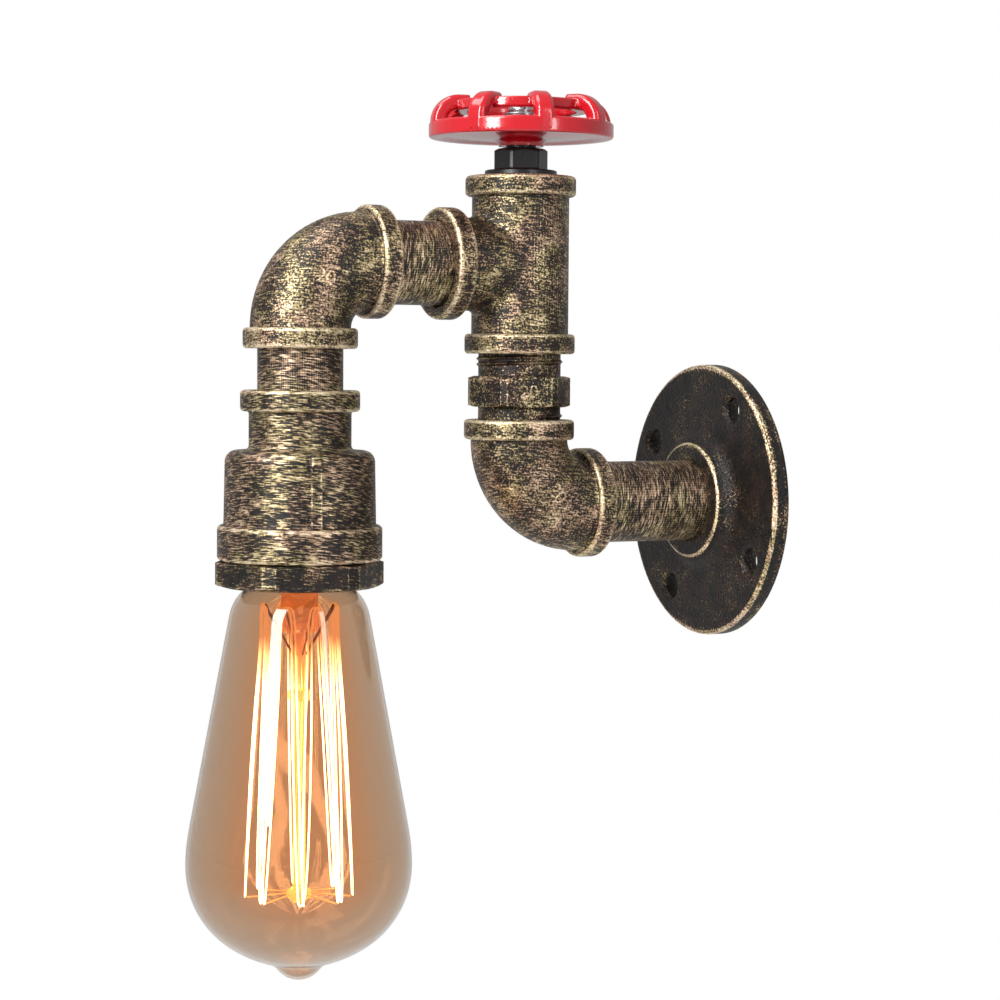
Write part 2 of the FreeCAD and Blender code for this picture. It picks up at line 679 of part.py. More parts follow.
def handwheel():
    # cast wheel: dished web and band, a smaller ring above it, and humps that arch between them
    spin = FreeCAD.Rotation(upright, size("wheelPhase"))
    body = newBody("handwheel", "0", "-sizes.wallToRiser", wheelFoot, spin)
    rim = "sizes.wheelOuter / 2"
    wall = rim + " - sizes.wheelBandWall"
    bandTop = "sizes.wheelLift + sizes.wheelBand"
    webTop = "sizes.wheelLift + sizes.wheelWeb"
    hub = "sizes.wheelHub / 2"
    turned(body, [
        ("0", "0"),
        (hub, "0", "0.6"),
        (hub, "sizes.wheelLift - 0.6", "2.0"),
        (wall + " - 2", "sizes.wheelLift + 0.6", "1.5"),
        (wall, "sizes.wheelLift"),
        (rim, "sizes.wheelLift", "0.9"),
        (rim, bandTop, "1.0"),
        (wall, bandTop, "0.8"),
        (wall + " - 0.6", webTop + " + 0.6", "1.2"),
        (hub + " + 1", webTop + " + 1.2", "2.0"),
        (hub, "sizes.wheelHubHeight", "0.8"),
        ("0", "sizes.wheelHubHeight"),
    ])
    # one hump: a rounded bar that rises from the band and bends inwards to the ring
    middle = rim + " - sizes.humpDepth / 2"
    level = "sizes.wheelTop - sizes.humpDepth / 2"
    start = "sizes.wheelLift + 1"
    inward = "sizes.wheelRingInner / 2 + 0.4"
    path = newSketch(body, "XZ_Plane")
    x0 = float(path.evalExpression(middle))
    z0 = float(path.evalExpression(level))
    zs = float(path.evalExpression(start))
    xi = float(path.evalExpression(inward))
    bend = size("humpBend")
    rise = path.addGeometry(Part.LineSegment(FreeCAD.Vector(x0, zs, 0), FreeCAD.Vector(x0, z0 - bend, 0)), False)
    circle = Part.Circle(FreeCAD.Vector(x0 - bend, z0 - bend, 0), upright, bend)
    curve = path.addGeometry(Part.ArcOfCircle(circle, 0, math.pi / 2), False)
    run = path.addGeometry(Part.LineSegment(FreeCAD.Vector(x0 - bend, z0, 0), FreeCAD.Vector(xi, z0, 0)), False)
    path.addConstraint(Sketcher.Constraint("Tangent", rise, 2, curve, 1))
    path.addConstraint(Sketcher.Constraint("Tangent", curve, 2, run, 1))
    path.addConstraint(Sketcher.Constraint("Vertical", rise))
    bindPoint(path, rise, 1, middle, start)
    bindPoint(path, run, 2, inward, level)
    bind(path, Sketcher.Constraint("Radius", curve, bend), "sizes.humpBend")
    section = newSketch(body, "XY_Plane", start)
    low = middle + " - sizes.humpDepth / 2"
    high = middle + " + sizes.humpDepth / 2"
    wide = "sizes.humpWidth / 2"
    drawOutline(section, [
        (low, "-" + wide, "1.0"),
        (high, "-" + wide, "1.8"),
        (high, wide, "1.8"),
        (low, wide, "1.0"),
    ])
    document.recompute()
    hump = body.newObject("PartDesign::AdditivePipe", "wheel_hump")
    hump.Profile = section
    hump.Spine = (path, ["Edge1", "Edge2", "Edge3"])
    finish(hump, body)
    repeated(body, hump, "sizes.humpCount")
    ringTop = "sizes.wheelTop - sizes.humpStep"
    turned(body, [
        ("sizes.wheelRingInner / 2", ringTop + " - sizes.wheelRingHeight", "0.7"),
        ("sizes.wheelRingOuter / 2", ringTop + " - sizes.wheelRingHeight", "0.7"),
        ("sizes.wheelRingOuter / 2", ringTop, "0.7"),
        ("sizes.wheelRingInner / 2", ringTop, "0.7"),
    ])
    hole = newSketch(body, "XY_Plane")
    side = "sizes.spindleSquare / 2 + sizes.spindlePlay"
    drawOutline(hole, [("-(%s)" % side, "-(%s)" % side), (side, "-(%s)" % side), (side, side), ("-(%s)" % side, side)])
    prism(body, hole, "4 * sizes.wheelHubHeight", cut=True, midplane=True)
    return body


def wheelWasher():
    spin = FreeCAD.Rotation(upright, size("wheelPhase"))
    body = newBody("wheel_washer", "0", "-sizes.wallToRiser", wheelFoot + " + sizes.wheelHubHeight", spin)
    turned(body, [
        ("sizes.wheelScrewShank / 2 + 0.2", "0"),
        ("sizes.washerOuter / 2", "0", "0.2"),
        ("sizes.washerOuter / 2", "sizes.washerHeight", "0.2"),
        ("sizes.wheelScrewShank / 2 + 0.2", "sizes.washerHeight"),
    ])
    return body


def wheelScrew():
    spin = FreeCAD.Rotation(upright, size("wheelPhase"))
    place = wheelFoot + " + sizes.wheelHubHeight + sizes.washerHeight"
    body = newBody("wheel_screw", "0", "-sizes.wallToRiser", place, spin)
    turned(body, [
        ("0", "-sizes.wheelScrewLength"),
        ("sizes.wheelScrewShank / 2", "-sizes.wheelScrewLength"),
        ("sizes.wheelScrewShank / 2", "0"),
        ("sizes.wheelScrewHead / 2", "0"),
        ("sizes.wheelScrewHead / 2", "sizes.wheelScrewHeadHeight", "1.2"),
        ("0", "sizes.wheelScrewHeadHeight"),
    ])
    slot = newSketch(body, "XY_Plane", "sizes.wheelScrewHeadHeight - sizes.wheelScrewSlotDepth")
    long = "sizes.wheelScrewHead"
    thin = "sizes.wheelScrewSlot / 2"
    drawOutline(slot, [("-" + long, "-" + thin), (long, "-" + thin), (long, thin), ("-" + long, thin)])
    prism(body, slot, "2 * sizes.wheelScrewSlotDepth", cut=True, reverse=True)
    return body


# ---- head: reducer, ring and lamp holder ---------------------------------------------------------

headAxis = "-sizes.wallToRiser - sizes.riserToHead"
reducerTop = "sizes.branchHeight - sizes.elbowReach - sizes.dropShown"
reducerFoot = reducerTop + " - sizes.reducerHeight"
holderTop = reducerTop + " - sizes.reducerSeat"
cupFloor = holderTop + " - sizes.holderFloor"
lampTop = cupFloor + " - sizes.contactHeight - sizes.contactGap"


def reducer():
    # reducing coupling; its origin is at its upper face
    spin = FreeCAD.Rotation(upright, size("reducerRibPhase"))
    body = newBody("reducer", "0", headAxis, reducerTop, spin)
    lowTop = "-sizes.reducerHeight + sizes.reducerLowLength"
    turned(body, [
        ("0", "0"),
        ("sizes.reducerTopOuter / 2", "0", "sizes.collarRound"),
        ("sizes.reducerTopOuter / 2", "-sizes.reducerTopLength", "sizes.collarRound"),
        ("sizes.reducerNeckOuter / 2", "-sizes.reducerTopLength", "0.8"),
        ("sizes.reducerNeckOuter / 2", "-sizes.reducerShoulder", "sizes.reducerNeckFillet"),
        ("sizes.reducerBodyTop / 2", "-sizes.reducerShoulder", "sizes.reducerShoulderRound"),
        ("sizes.reducerBodyFoot / 2", lowTop, "0.8"),
        ("sizes.reducerLowOuter / 2", lowTop, "1.4"),
        ("sizes.reducerLowOuter / 2", "-sizes.reducerHeight", "1.2"),
        ("0", "-sizes.reducerHeight"),
    ])
    # the raised moulding rib down the body and over its shoulder, and its twin on the far side
    buried = "sizes.reducerNeckOuter / 2 - sizes.reducerRibProud"
    proud = "-sizes.reducerShoulder + sizes.reducerRibProud / 2"
    rib = turned(body, [
        (buried, proud),
        ("sizes.reducerBodyTop / 2 + sizes.reducerRibProud", proud,
         "sizes.reducerShoulderRound + sizes.reducerRibProud"),
        ("sizes.reducerBodyFoot / 2 + sizes.reducerRibProud", lowTop),
        (buried, lowTop),
    ])
    rib.Midplane = True
    rib.setExpression("Angle", "2 * atan(sizes.reducerRibWidth / sizes.reducerBodyFoot)")
    repeated(body, rib, "2")
    turned(body, [
        ("0", "-sizes.reducerSeat"),
        ("0", "0"),
        ("sizes.pipeBore / 2 + 0.6", "0"),
        ("sizes.pipeBore / 2 + 0.6", "-sizes.reducerSeat"),
    ], cut=True)
    socketBore(body, "0")
    step = "-sizes.reducerSeat - sizes.holderHeight + sizes.holderFlangeHeight"
    turned(body, [
        ("0", "-sizes.reducerHeight"),
        ("0", "-sizes.reducerSeat"),
        ("sizes.reducerChamber / 2", "-sizes.reducerSeat"),
        ("sizes.reducerChamber / 2", step),
        ("sizes.ringThread / 2 + sizes.threadPlay", step),
        ("sizes.ringThread / 2 + sizes.threadPlay", "-sizes.reducerHeight"),
    ], cut=True)
    return body


def retainingRing():
    # hexagon ring that screws into the reducer and holds the lamp holder; origin at its upper face
    spin = FreeCAD.Rotation(upright, size("ringHexPhase"))
    body = newBody("retaining_ring", "0", headAxis, reducerFoot, spin)
    spigot = "sizes.reducerHeight - sizes.reducerSeat - sizes.holderHeight"
    turned(body, [
        ("sizes.ringBore / 2", "-sizes.ringHexHeight"),
        ("sizes.ringHexSpan / 2 - 1", "-sizes.ringHexHeight"),
        ("sizes.ringHexSpan / 2 - 1", "0"),
        ("sizes.ringThread / 2", "0"),
        ("sizes.ringThread / 2", "%s - 0.4" % spigot),
        ("sizes.ringThread / 2 - 0.4", spigot),
        ("sizes.ringBore / 2", spigot),
    ])
    hexagonPad(body, "sizes.ringHexSpan", "-sizes.ringHexHeight", "sizes.ringHexHeight")
    trimCorners(body, "sizes.ringHexTurned", "-sizes.ringHexHeight", "0", "sizes.ringHexSpan")
    turned(body, [
        ("0", "-sizes.ringHexHeight"),
        ("sizes.ringBore / 2", "-sizes.ringHexHeight"),
        ("sizes.ringBore / 2", spigot),
        ("0", spigot),
    ], cut=True)
    return body


def holderBody():
    # glazed porcelain holder; its origin is at its upper face
    body = newBody("holder_body", "0", headAxis, holderTop)
    turned(body, [
        ("0", "0"),
        ("sizes.holderOuter / 2", "0", "1.2"),
        ("sizes.holderOuter / 2", "-sizes.holderHeight + sizes.holderFlangeHeight"),
        ("sizes.holderFlange / 2", "-sizes.holderHeight + sizes.holderFlangeHeight"),
        ("sizes.holderFlange / 2", "-sizes.holderHeight", "0.6"),
        ("sizes.holderCup / 2", "-sizes.holderHeight", "0.6"),
        ("sizes.holderCup / 2", "-sizes.holderFloor"),
        ("0", "-sizes.holderFloor"),
    ])
    sketch = newSketch(body, "XY_Plane")
    for side in ("-1", "1"):
        near = "%s * sizes.leadSpacing / 2 - sizes.holderPocketWidth / 2" % side
        far = "%s * sizes.leadSpacing / 2 + sizes.holderPocketWidth / 2" % side
        half = "sizes.holderPocketLength / 2"
        drawOutline(sketch, [(near, "-" + half), (far, "-" + half), (far, half), (near, half)])
    prism(body, sketch, "sizes.holderPocketDepth", cut=True)
    rivetEnd = "-sizes.holderFloor + sizes.contactRivet + sizes.pinPlay"
    turned(body, [
        ("0", "-sizes.holderFloor"),
        ("sizes.contactShank / 2 + sizes.pinPlay", "-sizes.holderFloor"),
        ("sizes.contactShank / 2 + sizes.pinPlay", rivetEnd),
        ("0", rivetEnd),
    ], cut=True)
    return body


def holderShell():
    # brass screw shell inside the porcelain; its origin is on the cup's floor
    body = newBody("holder_shell", "0", headAxis, cupFloor)
    outer = "sizes.holderCup / 2 - sizes.shellPlay"
    foot = "-sizes.holderHeight + sizes.holderFloor + sizes.shellSetback"
    turned(body, [
        (outer + " - sizes.shellLip", "0"),
        (outer, "0", "0.4"),
        (outer, foot),
        (outer + " - sizes.shellWall", foot),
        (outer + " - sizes.shellWall", "-sizes.shellWall"),
        (outer + " - sizes.shellLip", "-sizes.shellWall"),
    ])
    return body


def centreContact():
    # sprung centre contact riveted through the porcelain floor; its origin is on the cup's floor
    body = newBody("centre_contact", "0", headAxis, cupFloor)
    turned(body, [
        ("0", "-sizes.contactHeight"),
        ("sizes.contactOuter / 4", "-sizes.contactHeight", "0.3"),
        ("sizes.contactOuter / 2", "-sizes.contactHeight / 2"),
        ("sizes.contactOuter / 2", "0"),
        ("sizes.contactShank / 2", "0"),
        ("sizes.contactShank / 2", "sizes.contactRivet"),
        ("0", "sizes.contactRivet"),
    ])
    return body


def terminal(label, side):
    # brass terminal block in its porcelain pocket; its origin is on the pocket's floor
    place = "%s * sizes.leadSpacing / 2" % side
    floor = holderTop + " - sizes.holderPocketDepth"
    body = newBody(label, place, headAxis, floor)
    sketch = newSketch(body, "XY_Plane")
    wide = "sizes.terminalWidth / 2"
    long = "sizes.terminalLength / 2"
    drawOutline(sketch, [("-" + wide, "-" + long), (wide, "-" + long), (wide, long), ("-" + wide, long)])
    prism(body, sketch, "sizes.terminalHeight")
    holes = newSketch(body, "XY_Plane", "sizes.terminalHeight")
    drawCircle(holes, "sizes.leadOuter + 2 * sizes.pinPlay")
    prism(body, holes, "sizes.leadEntry", cut=True)
    screwHoles = newSketch(body, "XY_Plane", "sizes.terminalHeight")
    drawCircle(screwHoles, "sizes.terminalScrewShank + 2 * sizes.pinPlay", "0", "sizes.terminalScrewAside")
    prism(body, screwHoles, "sizes.terminalScrewLength + 2 * sizes.pinPlay", cut=True)
    return body


def terminalScrews():
    # one slotted screw on each terminal block, as a pair
    length = size("terminalScrewLength")
    headHeight = size("terminalScrewHeadHeight")
    cut = size("terminalScrewSlot")
    wide = size("terminalScrewHead")
    reducerFace = size("branchHeight") - size("elbowReach") - size("dropShown")
    level = reducerFace - size("reducerSeat") - size("holderPocketDepth") + size("terminalHeight")
    along = -size("wallToRiser") - size("riserToHead") + size("terminalScrewAside")
    screws = []
    for side in (-1, 1):
        across = side * size("leadSpacing") / 2
        shank = Part.makeCylinder(size("terminalScrewShank") / 2, length, FreeCAD.Vector(across, along, level - length))
        head = Part.makeCylinder(wide / 2, headHeight, FreeCAD.Vector(across, along, level))
        corner = FreeCAD.Vector(across - wide, along - cut / 2, level + headHeight - cut)
        slot = Part.makeBox(2 * wide, cut, 2 * cut, corner)
        screws.append(shank.fuse(head).cut(slot).removeSplitter())
    return addShape("terminal_screws", Part.makeCompound(screws))


def addShape(label, shape):
    item = document.addObject("Part::Feature", label)
    item.Label = label
    item.Shape = shape
    parts.append(item)
    return item


def lead(label, side):
    # insulated lead from the wall through every pipe to its terminal, straight runs and tangent arcs
    across = "%d * sizes.leadSpacing / 2" % side
    body = newBody(label, across)
    riser = -size("wallToRiser")
    head = riser - size("riserToHead")
    height = size("branchHeight")
    bend = size("leadBend")
    reducerFace = height - size("elbowReach") - size("dropShown")
    foot = reducerFace - size("reducerSeat") - size("holderPocketDepth") + size("terminalHeight") - size("leadEntry")
    stops = [(-size("nippleSetback"), 0), (riser, 0), (riser, height), (head, height), (head, foot + 0.2)]
    path = newSketch(body, "YZ_Plane")
    points = [FreeCAD.Vector(y, z, 0) for y, z in stops]
    here = points[0]
    pieces = []
    for index in range(1, len(points) - 1):
        back = (points[index - 1] - points[index]).normalize()
        ahead = (points[index + 1] - points[index]).normalize()
        enter = points[index] + back * bend
        leave = points[index] + ahead * bend
        centre = points[index] + back * bend + ahead * bend
        pieces.append(Part.LineSegment(here, enter))
        left = back.cross(ahead).z < 0
        first, last = (enter, leave) if left else (leave, enter)
        angles = [math.atan2(p.y - centre.y, p.x - centre.x) for p in (first, last)]
        pieces.append(Part.ArcOfCircle(Part.Circle(centre, upright, bend), angles[0], angles[1]))
        here = leave
    pieces.append(Part.LineSegment(here, points[-1]))
    for piece in pieces:
        path.addGeometry(piece, False)
    section = newSketch(body, "XZ_Plane", "sizes.nippleSetback")
    drawCircle(section, "sizes.leadOuter")
    document.recompute()
    feature = body.newObject("PartDesign::AdditivePipe", label + "_sheath")
    feature.Profile = section
    feature.Spine = (path, ["Edge%d" % (index + 1) for index in range(len(pieces))])
    return finish(feature, body)


# ---- lamp ------------------------------------------------------------------------------------------

def lampPlace():
    height = size("branchHeight") - size("elbowReach") - size("dropShown") - size("reducerSeat")
    top = height - size("holderFloor") - size("contactHeight") - size("contactGap")
    return FreeCAD.Vector(0, -size("wallToRiser") - size("riserToHead"), top)


def polar(centre, radius, turn):
    return FreeCAD.Vector(centre.x + radius * math.cos(turn), 0, centre.z + radius * math.sin(turn))


def glassOutline(inset):
    # half outline of the bulb from the tip up to the neck's end, set in by a wall's thickness
    taper = math.radians(size("bulbTaper"))
    widest = size("bulbOuter") / 2
    belt = -size("bulbWidest")
    tip = -size("bulbLength")
    # belly: a sphere on the axis, touched from inside by the hip's smaller arc
    hip = FreeCAD.Vector(widest - size("hipCurve"), 0, belt)
    drop = math.sqrt((size("bellyCurve") - size("hipCurve")) ** 2 - hip.x ** 2)
    belly = FreeCAD.Vector(0, 0, belt + drop)
    pip = FreeCAD.Vector(0, 0, tip + size("pipCurve"))
    # the fillet between belly and pip touches both from outside
    outer = size("bellyCurve") + size("pipFillet")
    inner = size("pipCurve") + size("pipFillet")
    span = belly.z - pip.z
    rise = (outer ** 2 - inner ** 2 - span ** 2) / (2 * span)
    fillet = FreeCAD.Vector(math.sqrt(inner ** 2 - rise ** 2), 0, pip.z - rise)
    # shoulder: from the widest place up to the cone, which ends at the neck's curve
    neckEnd = -size("neckDrop")
    slope = math.tan(taper)
    neckRadius = size("capOuter") / 2 + size("neckShoulder")
    shoulder = (widest - neckRadius - slope * (neckEnd - belt)) / (1 - math.cos(taper) - slope * math.sin(taper))
    shoulder = abs(shoulder)
    side = FreeCAD.Vector(widest - shoulder, 0, belt)
    coneFoot = polar(side, shoulder, taper)
    coneTop = FreeCAD.Vector(coneFoot.x - slope * (neckEnd - coneFoot.z), 0, neckEnd)
    neck = polar(coneTop, -size("neckCurve"), taper)
    return belly, hip, pip, fillet, side, shoulder, coneTop, neck, taper


def glassSolid(inset):
    belly, hip, pip, fillet, side, shoulder, coneTop, neck, taper = glassOutline(inset)
    bellyRadius = size("bellyCurve") - inset
    hipRadius = size("hipCurve") - inset
    pipRadius = size("pipCurve") - inset
    filletRadius = size("pipFillet") + inset
    neckRadius = size("neckCurve") - inset
    tube = size("glassNeck") / 2 - inset
    toFillet = math.atan2(fillet.z - pip.z, fillet.x)
    fromBelly = math.atan2(fillet.z - belly.z, fillet.x)
    toHip = math.atan2(hip.z - belly.z, hip.x)
    neckTurn = math.acos((tube - neck.x) / neckRadius)
    top = -size("capTipHeight") - size("capCrown") - size("capLength") + size("glassNeckLength")

    def arc(centre, radius, first, last):
        ends = [polar(centre, radius, turn) for turn in (first, (first + last) / 2, last)]
        return Part.Arc(*ends).toShape()

    start = polar(pip, pipRadius, -math.pi / 2)
    shoulderEnd = polar(side, shoulder - inset, taper)
    neckStart = polar(neck, neckRadius, taper)
    neckTop = polar(neck, neckRadius, neckTurn)
    rim = FreeCAD.Vector(tube, 0, top)
    crown = FreeCAD.Vector(0, 0, top)
    edges = [
        arc(pip, pipRadius, -math.pi / 2, toFillet),
        arc(fillet, filletRadius, toFillet + math.pi, fromBelly + math.pi),
        arc(belly, bellyRadius, fromBelly, toHip),
        arc(hip, hipRadius, toHip, 0),
        arc(side, shoulder - inset, 0, taper),
        Part.LineSegment(shoulderEnd, neckStart).toShape(),
        arc(neck, neckRadius, taper, neckTurn),
        Part.LineSegment(neckTop, rim).toShape(),
        Part.LineSegment(rim, crown).toShape(),
        Part.LineSegment(crown, start).toShape(),
    ]
    face = Part.Face(Part.Wire(edges))
    return face.revolve(FreeCAD.Vector(0, 0, 0), upright, 360)


def bulbGlass():
    # blown teardrop envelope of even wall, open at its neck
    bulb = addShape("bulb_glass", glassSolid(0).cut(glassSolid(size("glassWall"))))
    bulb.Placement = FreeCAD.Placement(lampPlace(), FreeCAD.Rotation())
    return bulb


def bulbCap():
    # screw cap; its origin is at the lamp's contact
    body = newBody("bulb_cap", "0", headAxis, lampTop)
    outer = "sizes.capOuter / 2"
    top = "-sizes.capTipHeight - sizes.capCrown"
    foot = top + " - sizes.capLength"
    turned(body, [
        ("sizes.capCrownOuter / 2 + 3", top),
        (outer + " - 1.2", top),
        (outer, top + " - 1.6"),
        (outer, foot),
        (outer + " - sizes.capWall", foot),
        (outer + " - sizes.capWall", top + " - 1.8"),
        (outer + " - 1.5", top + " - sizes.capWall"),
        ("sizes.capCrownOuter / 2 + 3", top + " - sizes.capWall"),
    ])
    return body


def capInsulator():
    body = newBody("cap_insulator", "0", headAxis, lampTop)
    top = "-sizes.capTipHeight - sizes.capCrown"
    turned(body, [
        ("0", top + " - sizes.insulatorRim"),
        ("sizes.capCrownOuter / 2 + 2.9", top + " - sizes.insulatorRim"),
        ("sizes.capCrownOuter / 2 + 2.9", top),
        ("sizes.capCrownOuter / 2", "-sizes.capTipHeight"),
        ("0", "-sizes.capTipHeight"),
    ])
    return body


def capContact():
    body = newBody("cap_contact", "0", headAxis, lampTop)
    turned(body, [
        ("0", "-sizes.capTipHeight"),
        ("sizes.capTip / 2", "-sizes.capTipHeight"),
        ("sizes.capTip / 2", "-sizes.capTipHeight / 2", "0.5"),
        ("sizes.capTip / 4", "0", "1"),
        ("0", "0"),
    ])
    return body


def glassMount():
    # flare, flattened press and rod with two beads, in one piece of glass
    body = newBody("glass_mount", "0", headAxis, lampTop)
    rod = "sizes.rodOuter / 2"
    corners = [
        ("0", "-sizes.mountDrop"),
        ("sizes.mountFlare / 2", "-sizes.mountDrop"),
        ("sizes.mountFlare / 2", "-sizes.mountDrop - 1"),
        ("sizes.pressWidth / 2 - 0.6", "-sizes.pressTop", "3"),
        (rod, "-sizes.pressTop - 4", "2"),
    ]
    for bead in ("sizes.upperBead", "sizes.lowerBead"):
        corners += [
            (rod, "-%s + sizes.beadHeight / 2" % bead),
            ("sizes.beadOuter / 2", "-%s + sizes.beadHeight / 2" % bead, "1.2"),
            ("sizes.beadOuter / 2", "-%s - sizes.beadHeight / 2" % bead, "1.2"),
            (rod, "-%s - sizes.beadHeight / 2" % bead),
        ]
    corners += [(rod, "-sizes.lowerBead - sizes.beadHeight / 2 - 1"), ("0", "-sizes.lowerBead - sizes.beadHeight / 2 - 1")]
    turned(body, corners)
    sketch = newSketch(body, "XY_Plane", "-sizes.pressFoot")
    wide = "sizes.pressWidth / 2"
    deep = "sizes.pressDepth / 2"
    drawOutline(sketch, [
        ("-" + deep, "-" + wide, "1.5"),
        (deep, "-" + wide, "1.5"),
        (deep, wide, "1.5"),
        ("-" + deep, wide, "1.5"),
    ])
    prism(body, sketch, "sizes.pressFoot - sizes.pressTop + 1")
    return body


def wire(first, last, diameter):
    along = last - first
    return Part.makeCylinder(diameter / 2, along.Length, first, along)


def around(radius, level, turn):
    return FreeCAD.Vector(radius * math.cos(turn), radius * math.sin(turn), -level)


def filament():
    # squirrel cage: one wire that zigzags between the upper and the lower hooks
    hooks = int(size("cageHooks"))
    step = math.pi / hooks
    points = []
    for index in range(2 * hooks):
        if index % 2:
            points.append(around(size("cageFootRadius"), size("cageFoot"), index * step))
        else:
            points.append(around(size("cageTopRadius"), size("cageTop"), index * step))
    wires = [wire(a, b, size("filamentWire")) for a, b in zip(points, points[1:])]
    joints = [Part.makeSphere(size("filamentWire") / 2, point) for point in points]
    cage = addShape("filament", wires[0].fuse(wires[1:] + joints))
    cage.Placement = FreeCAD.Placement(lampPlace(), FreeCAD.Rotation())
    return cage


def supportWires(label, radius, level, rootRadius, rootLevel, offset):
    # a spray of wires from the glass mount out to the cage's hooks
    hooks = int(size("cageHooks"))
    spray = []
    for index in range(hooks):
        turn = (2 * index + offset) * math.pi / hooks
        root = around(rootRadius, rootLevel, turn)
        hook = around(radius - size("filamentWire") / 2 - size("supportWire") / 2 - 0.1, level, turn)
        spray.append(wire(root, hook, size("supportWire")))
    item = addShape(label, Part.makeCompound(spray))
    item.Placement = FreeCAD.Placement(lampPlace(), FreeCAD.Rotation())
    return item


def leadInWires():
    # two wires from the glass flare up to the cap
    pair = []
    for side in (-1, 1):
        aside = side * size("leadInSpacing") / 2
        root = FreeCAD.Vector(0, aside, -size("mountDrop") + size("pinPlay"))
        crown = size("capTipHeight") + size("capCrown") + size("insulatorRim")
        top = FreeCAD.Vector(0, aside, -crown - 2 * size("pinPlay"))
        pair.append(wire(root, top, size("supportWire")))
    item = addShape("lead_in_wires", Part.makeCompound(pair))
    item.Placement = FreeCAD.Placement(lampPlace(), FreeCAD.Rotation())
    return item


# ---- assembly ----------------------------------------------------------------------------------------

towardsRoom = FreeCAD.Rotation(FreeCAD.Vector(1, 0, 0), 90)
flipped = FreeCAD.Rotation(FreeCAD.Vector(0, 1, 0), 180)

wallFlange()
tube("lower_nipple", "sizes.wallToRiser - sizes.elbowReach + sizes.threadReach - sizes.nippleSetback",
     y="-sizes.nippleSetback", turn=towardsRoom)
elbow("lower_elbow", "-sizes.wallToRiser", "0")
hexNipple()
tee()
stemBushing()
valveSpindle()
spindleClip()
handwheel()
wheelWasher()
wheelScrew()
tube("branch_nipple", "sizes.riserToHead - sizes.teeBranchReach - sizes.elbowReach + 2 * sizes.threadReach",
     y="-sizes.wallToRiser - sizes.teeBranchReach + sizes.threadReach", z="sizes.branchHeight", turn=towardsRoom)
elbow("upper_elbow", headAxis, "sizes.branchHeight", flipped)
tube("drop_nipple", "sizes.dropShown + 2 * sizes.threadReach", y=headAxis,
     z=reducerTop + " - sizes.threadReach")
reducer()
retainingRing()
holderBody()
holderShell()
centreContact()
terminal("live_terminal", "1")
terminal("neutral_terminal", "-1")
terminalScrews()
lead("live_lead", 1)
lead("neutral_lead", -1)
bulbGlass()
bulbCap()
capInsulator()
capContact()
glassMount()
filament()
supportWires("upper_supports", size("cageTopRadius"), size("cageTop"),
             (size("rodOuter") + size("supportWire")) / 2, size("pressFoot") + size("anchorDrop"), 0)
supportWires("lower_supports", size("cageFootRadius"), size("cageFoot"),
             size("beadOuter") / 2 + size("pinPlay"), size("lowerBead"), 1)
leadInWires()

document.recompute()
faults = []
for item in document.Objects:
    if "Invalid" in item.State or "Error" in item.State:
        faults.append("%s: %s" % (item.Label, item.State))
for item in parts:
    if item.Shape.isNull() or not item.Shape.isValid():
        faults.append("%s: bad shape" % item.Label)
if faults:
    raise RuntimeError("; ".join(faults))
for item in parts:
    item.Shape.exportStep("parts/%s.step" % item.Label)
    print("%-18s %8.1f mm3, %d solids" % (item.Label, item.Shape.Volume, len(item.Shape.Solids)))
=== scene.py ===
# Industrial pipe wall light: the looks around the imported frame. Metres, in the frame's own axes.

import json
import math
import random

import bmesh
import bpy
from mathutils import Matrix, Vector
from mathutils.bvhtree import BVHTree

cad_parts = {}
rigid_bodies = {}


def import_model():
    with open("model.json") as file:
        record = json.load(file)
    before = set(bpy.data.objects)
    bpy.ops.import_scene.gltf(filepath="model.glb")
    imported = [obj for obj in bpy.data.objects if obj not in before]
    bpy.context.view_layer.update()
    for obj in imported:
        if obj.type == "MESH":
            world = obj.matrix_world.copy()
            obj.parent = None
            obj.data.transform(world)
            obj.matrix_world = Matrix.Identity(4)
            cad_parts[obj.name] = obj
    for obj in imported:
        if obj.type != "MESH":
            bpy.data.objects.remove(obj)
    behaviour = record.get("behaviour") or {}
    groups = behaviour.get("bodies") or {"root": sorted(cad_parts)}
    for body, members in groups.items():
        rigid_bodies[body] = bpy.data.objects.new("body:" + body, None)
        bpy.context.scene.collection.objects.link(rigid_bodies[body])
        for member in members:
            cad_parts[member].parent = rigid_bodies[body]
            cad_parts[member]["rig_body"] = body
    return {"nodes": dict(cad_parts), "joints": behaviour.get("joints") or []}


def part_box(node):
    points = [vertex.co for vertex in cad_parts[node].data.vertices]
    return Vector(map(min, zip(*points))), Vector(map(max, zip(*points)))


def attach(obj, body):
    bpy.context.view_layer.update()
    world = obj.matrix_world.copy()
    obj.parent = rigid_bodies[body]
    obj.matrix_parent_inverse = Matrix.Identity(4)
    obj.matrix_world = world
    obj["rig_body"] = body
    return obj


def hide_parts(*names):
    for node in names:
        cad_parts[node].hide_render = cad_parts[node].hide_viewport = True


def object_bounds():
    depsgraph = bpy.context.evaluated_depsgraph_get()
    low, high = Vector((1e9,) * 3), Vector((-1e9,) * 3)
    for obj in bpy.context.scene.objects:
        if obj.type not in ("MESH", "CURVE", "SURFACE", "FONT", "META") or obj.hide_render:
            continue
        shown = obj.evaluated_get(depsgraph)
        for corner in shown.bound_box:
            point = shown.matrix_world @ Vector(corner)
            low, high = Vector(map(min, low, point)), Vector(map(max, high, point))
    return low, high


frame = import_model()
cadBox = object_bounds()
scene = bpy.context.scene
mm = 0.001
photoWidth = 1000               # pixels, and as high

wheelJoint = next(joint for joint in frame["joints"] if joint["name"] == "wheel_turn")
riserAxis = Vector((0, wheelJoint["pos_m"][1], 0))


def middle(node):
    low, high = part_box(node)
    return (low + high) / 2


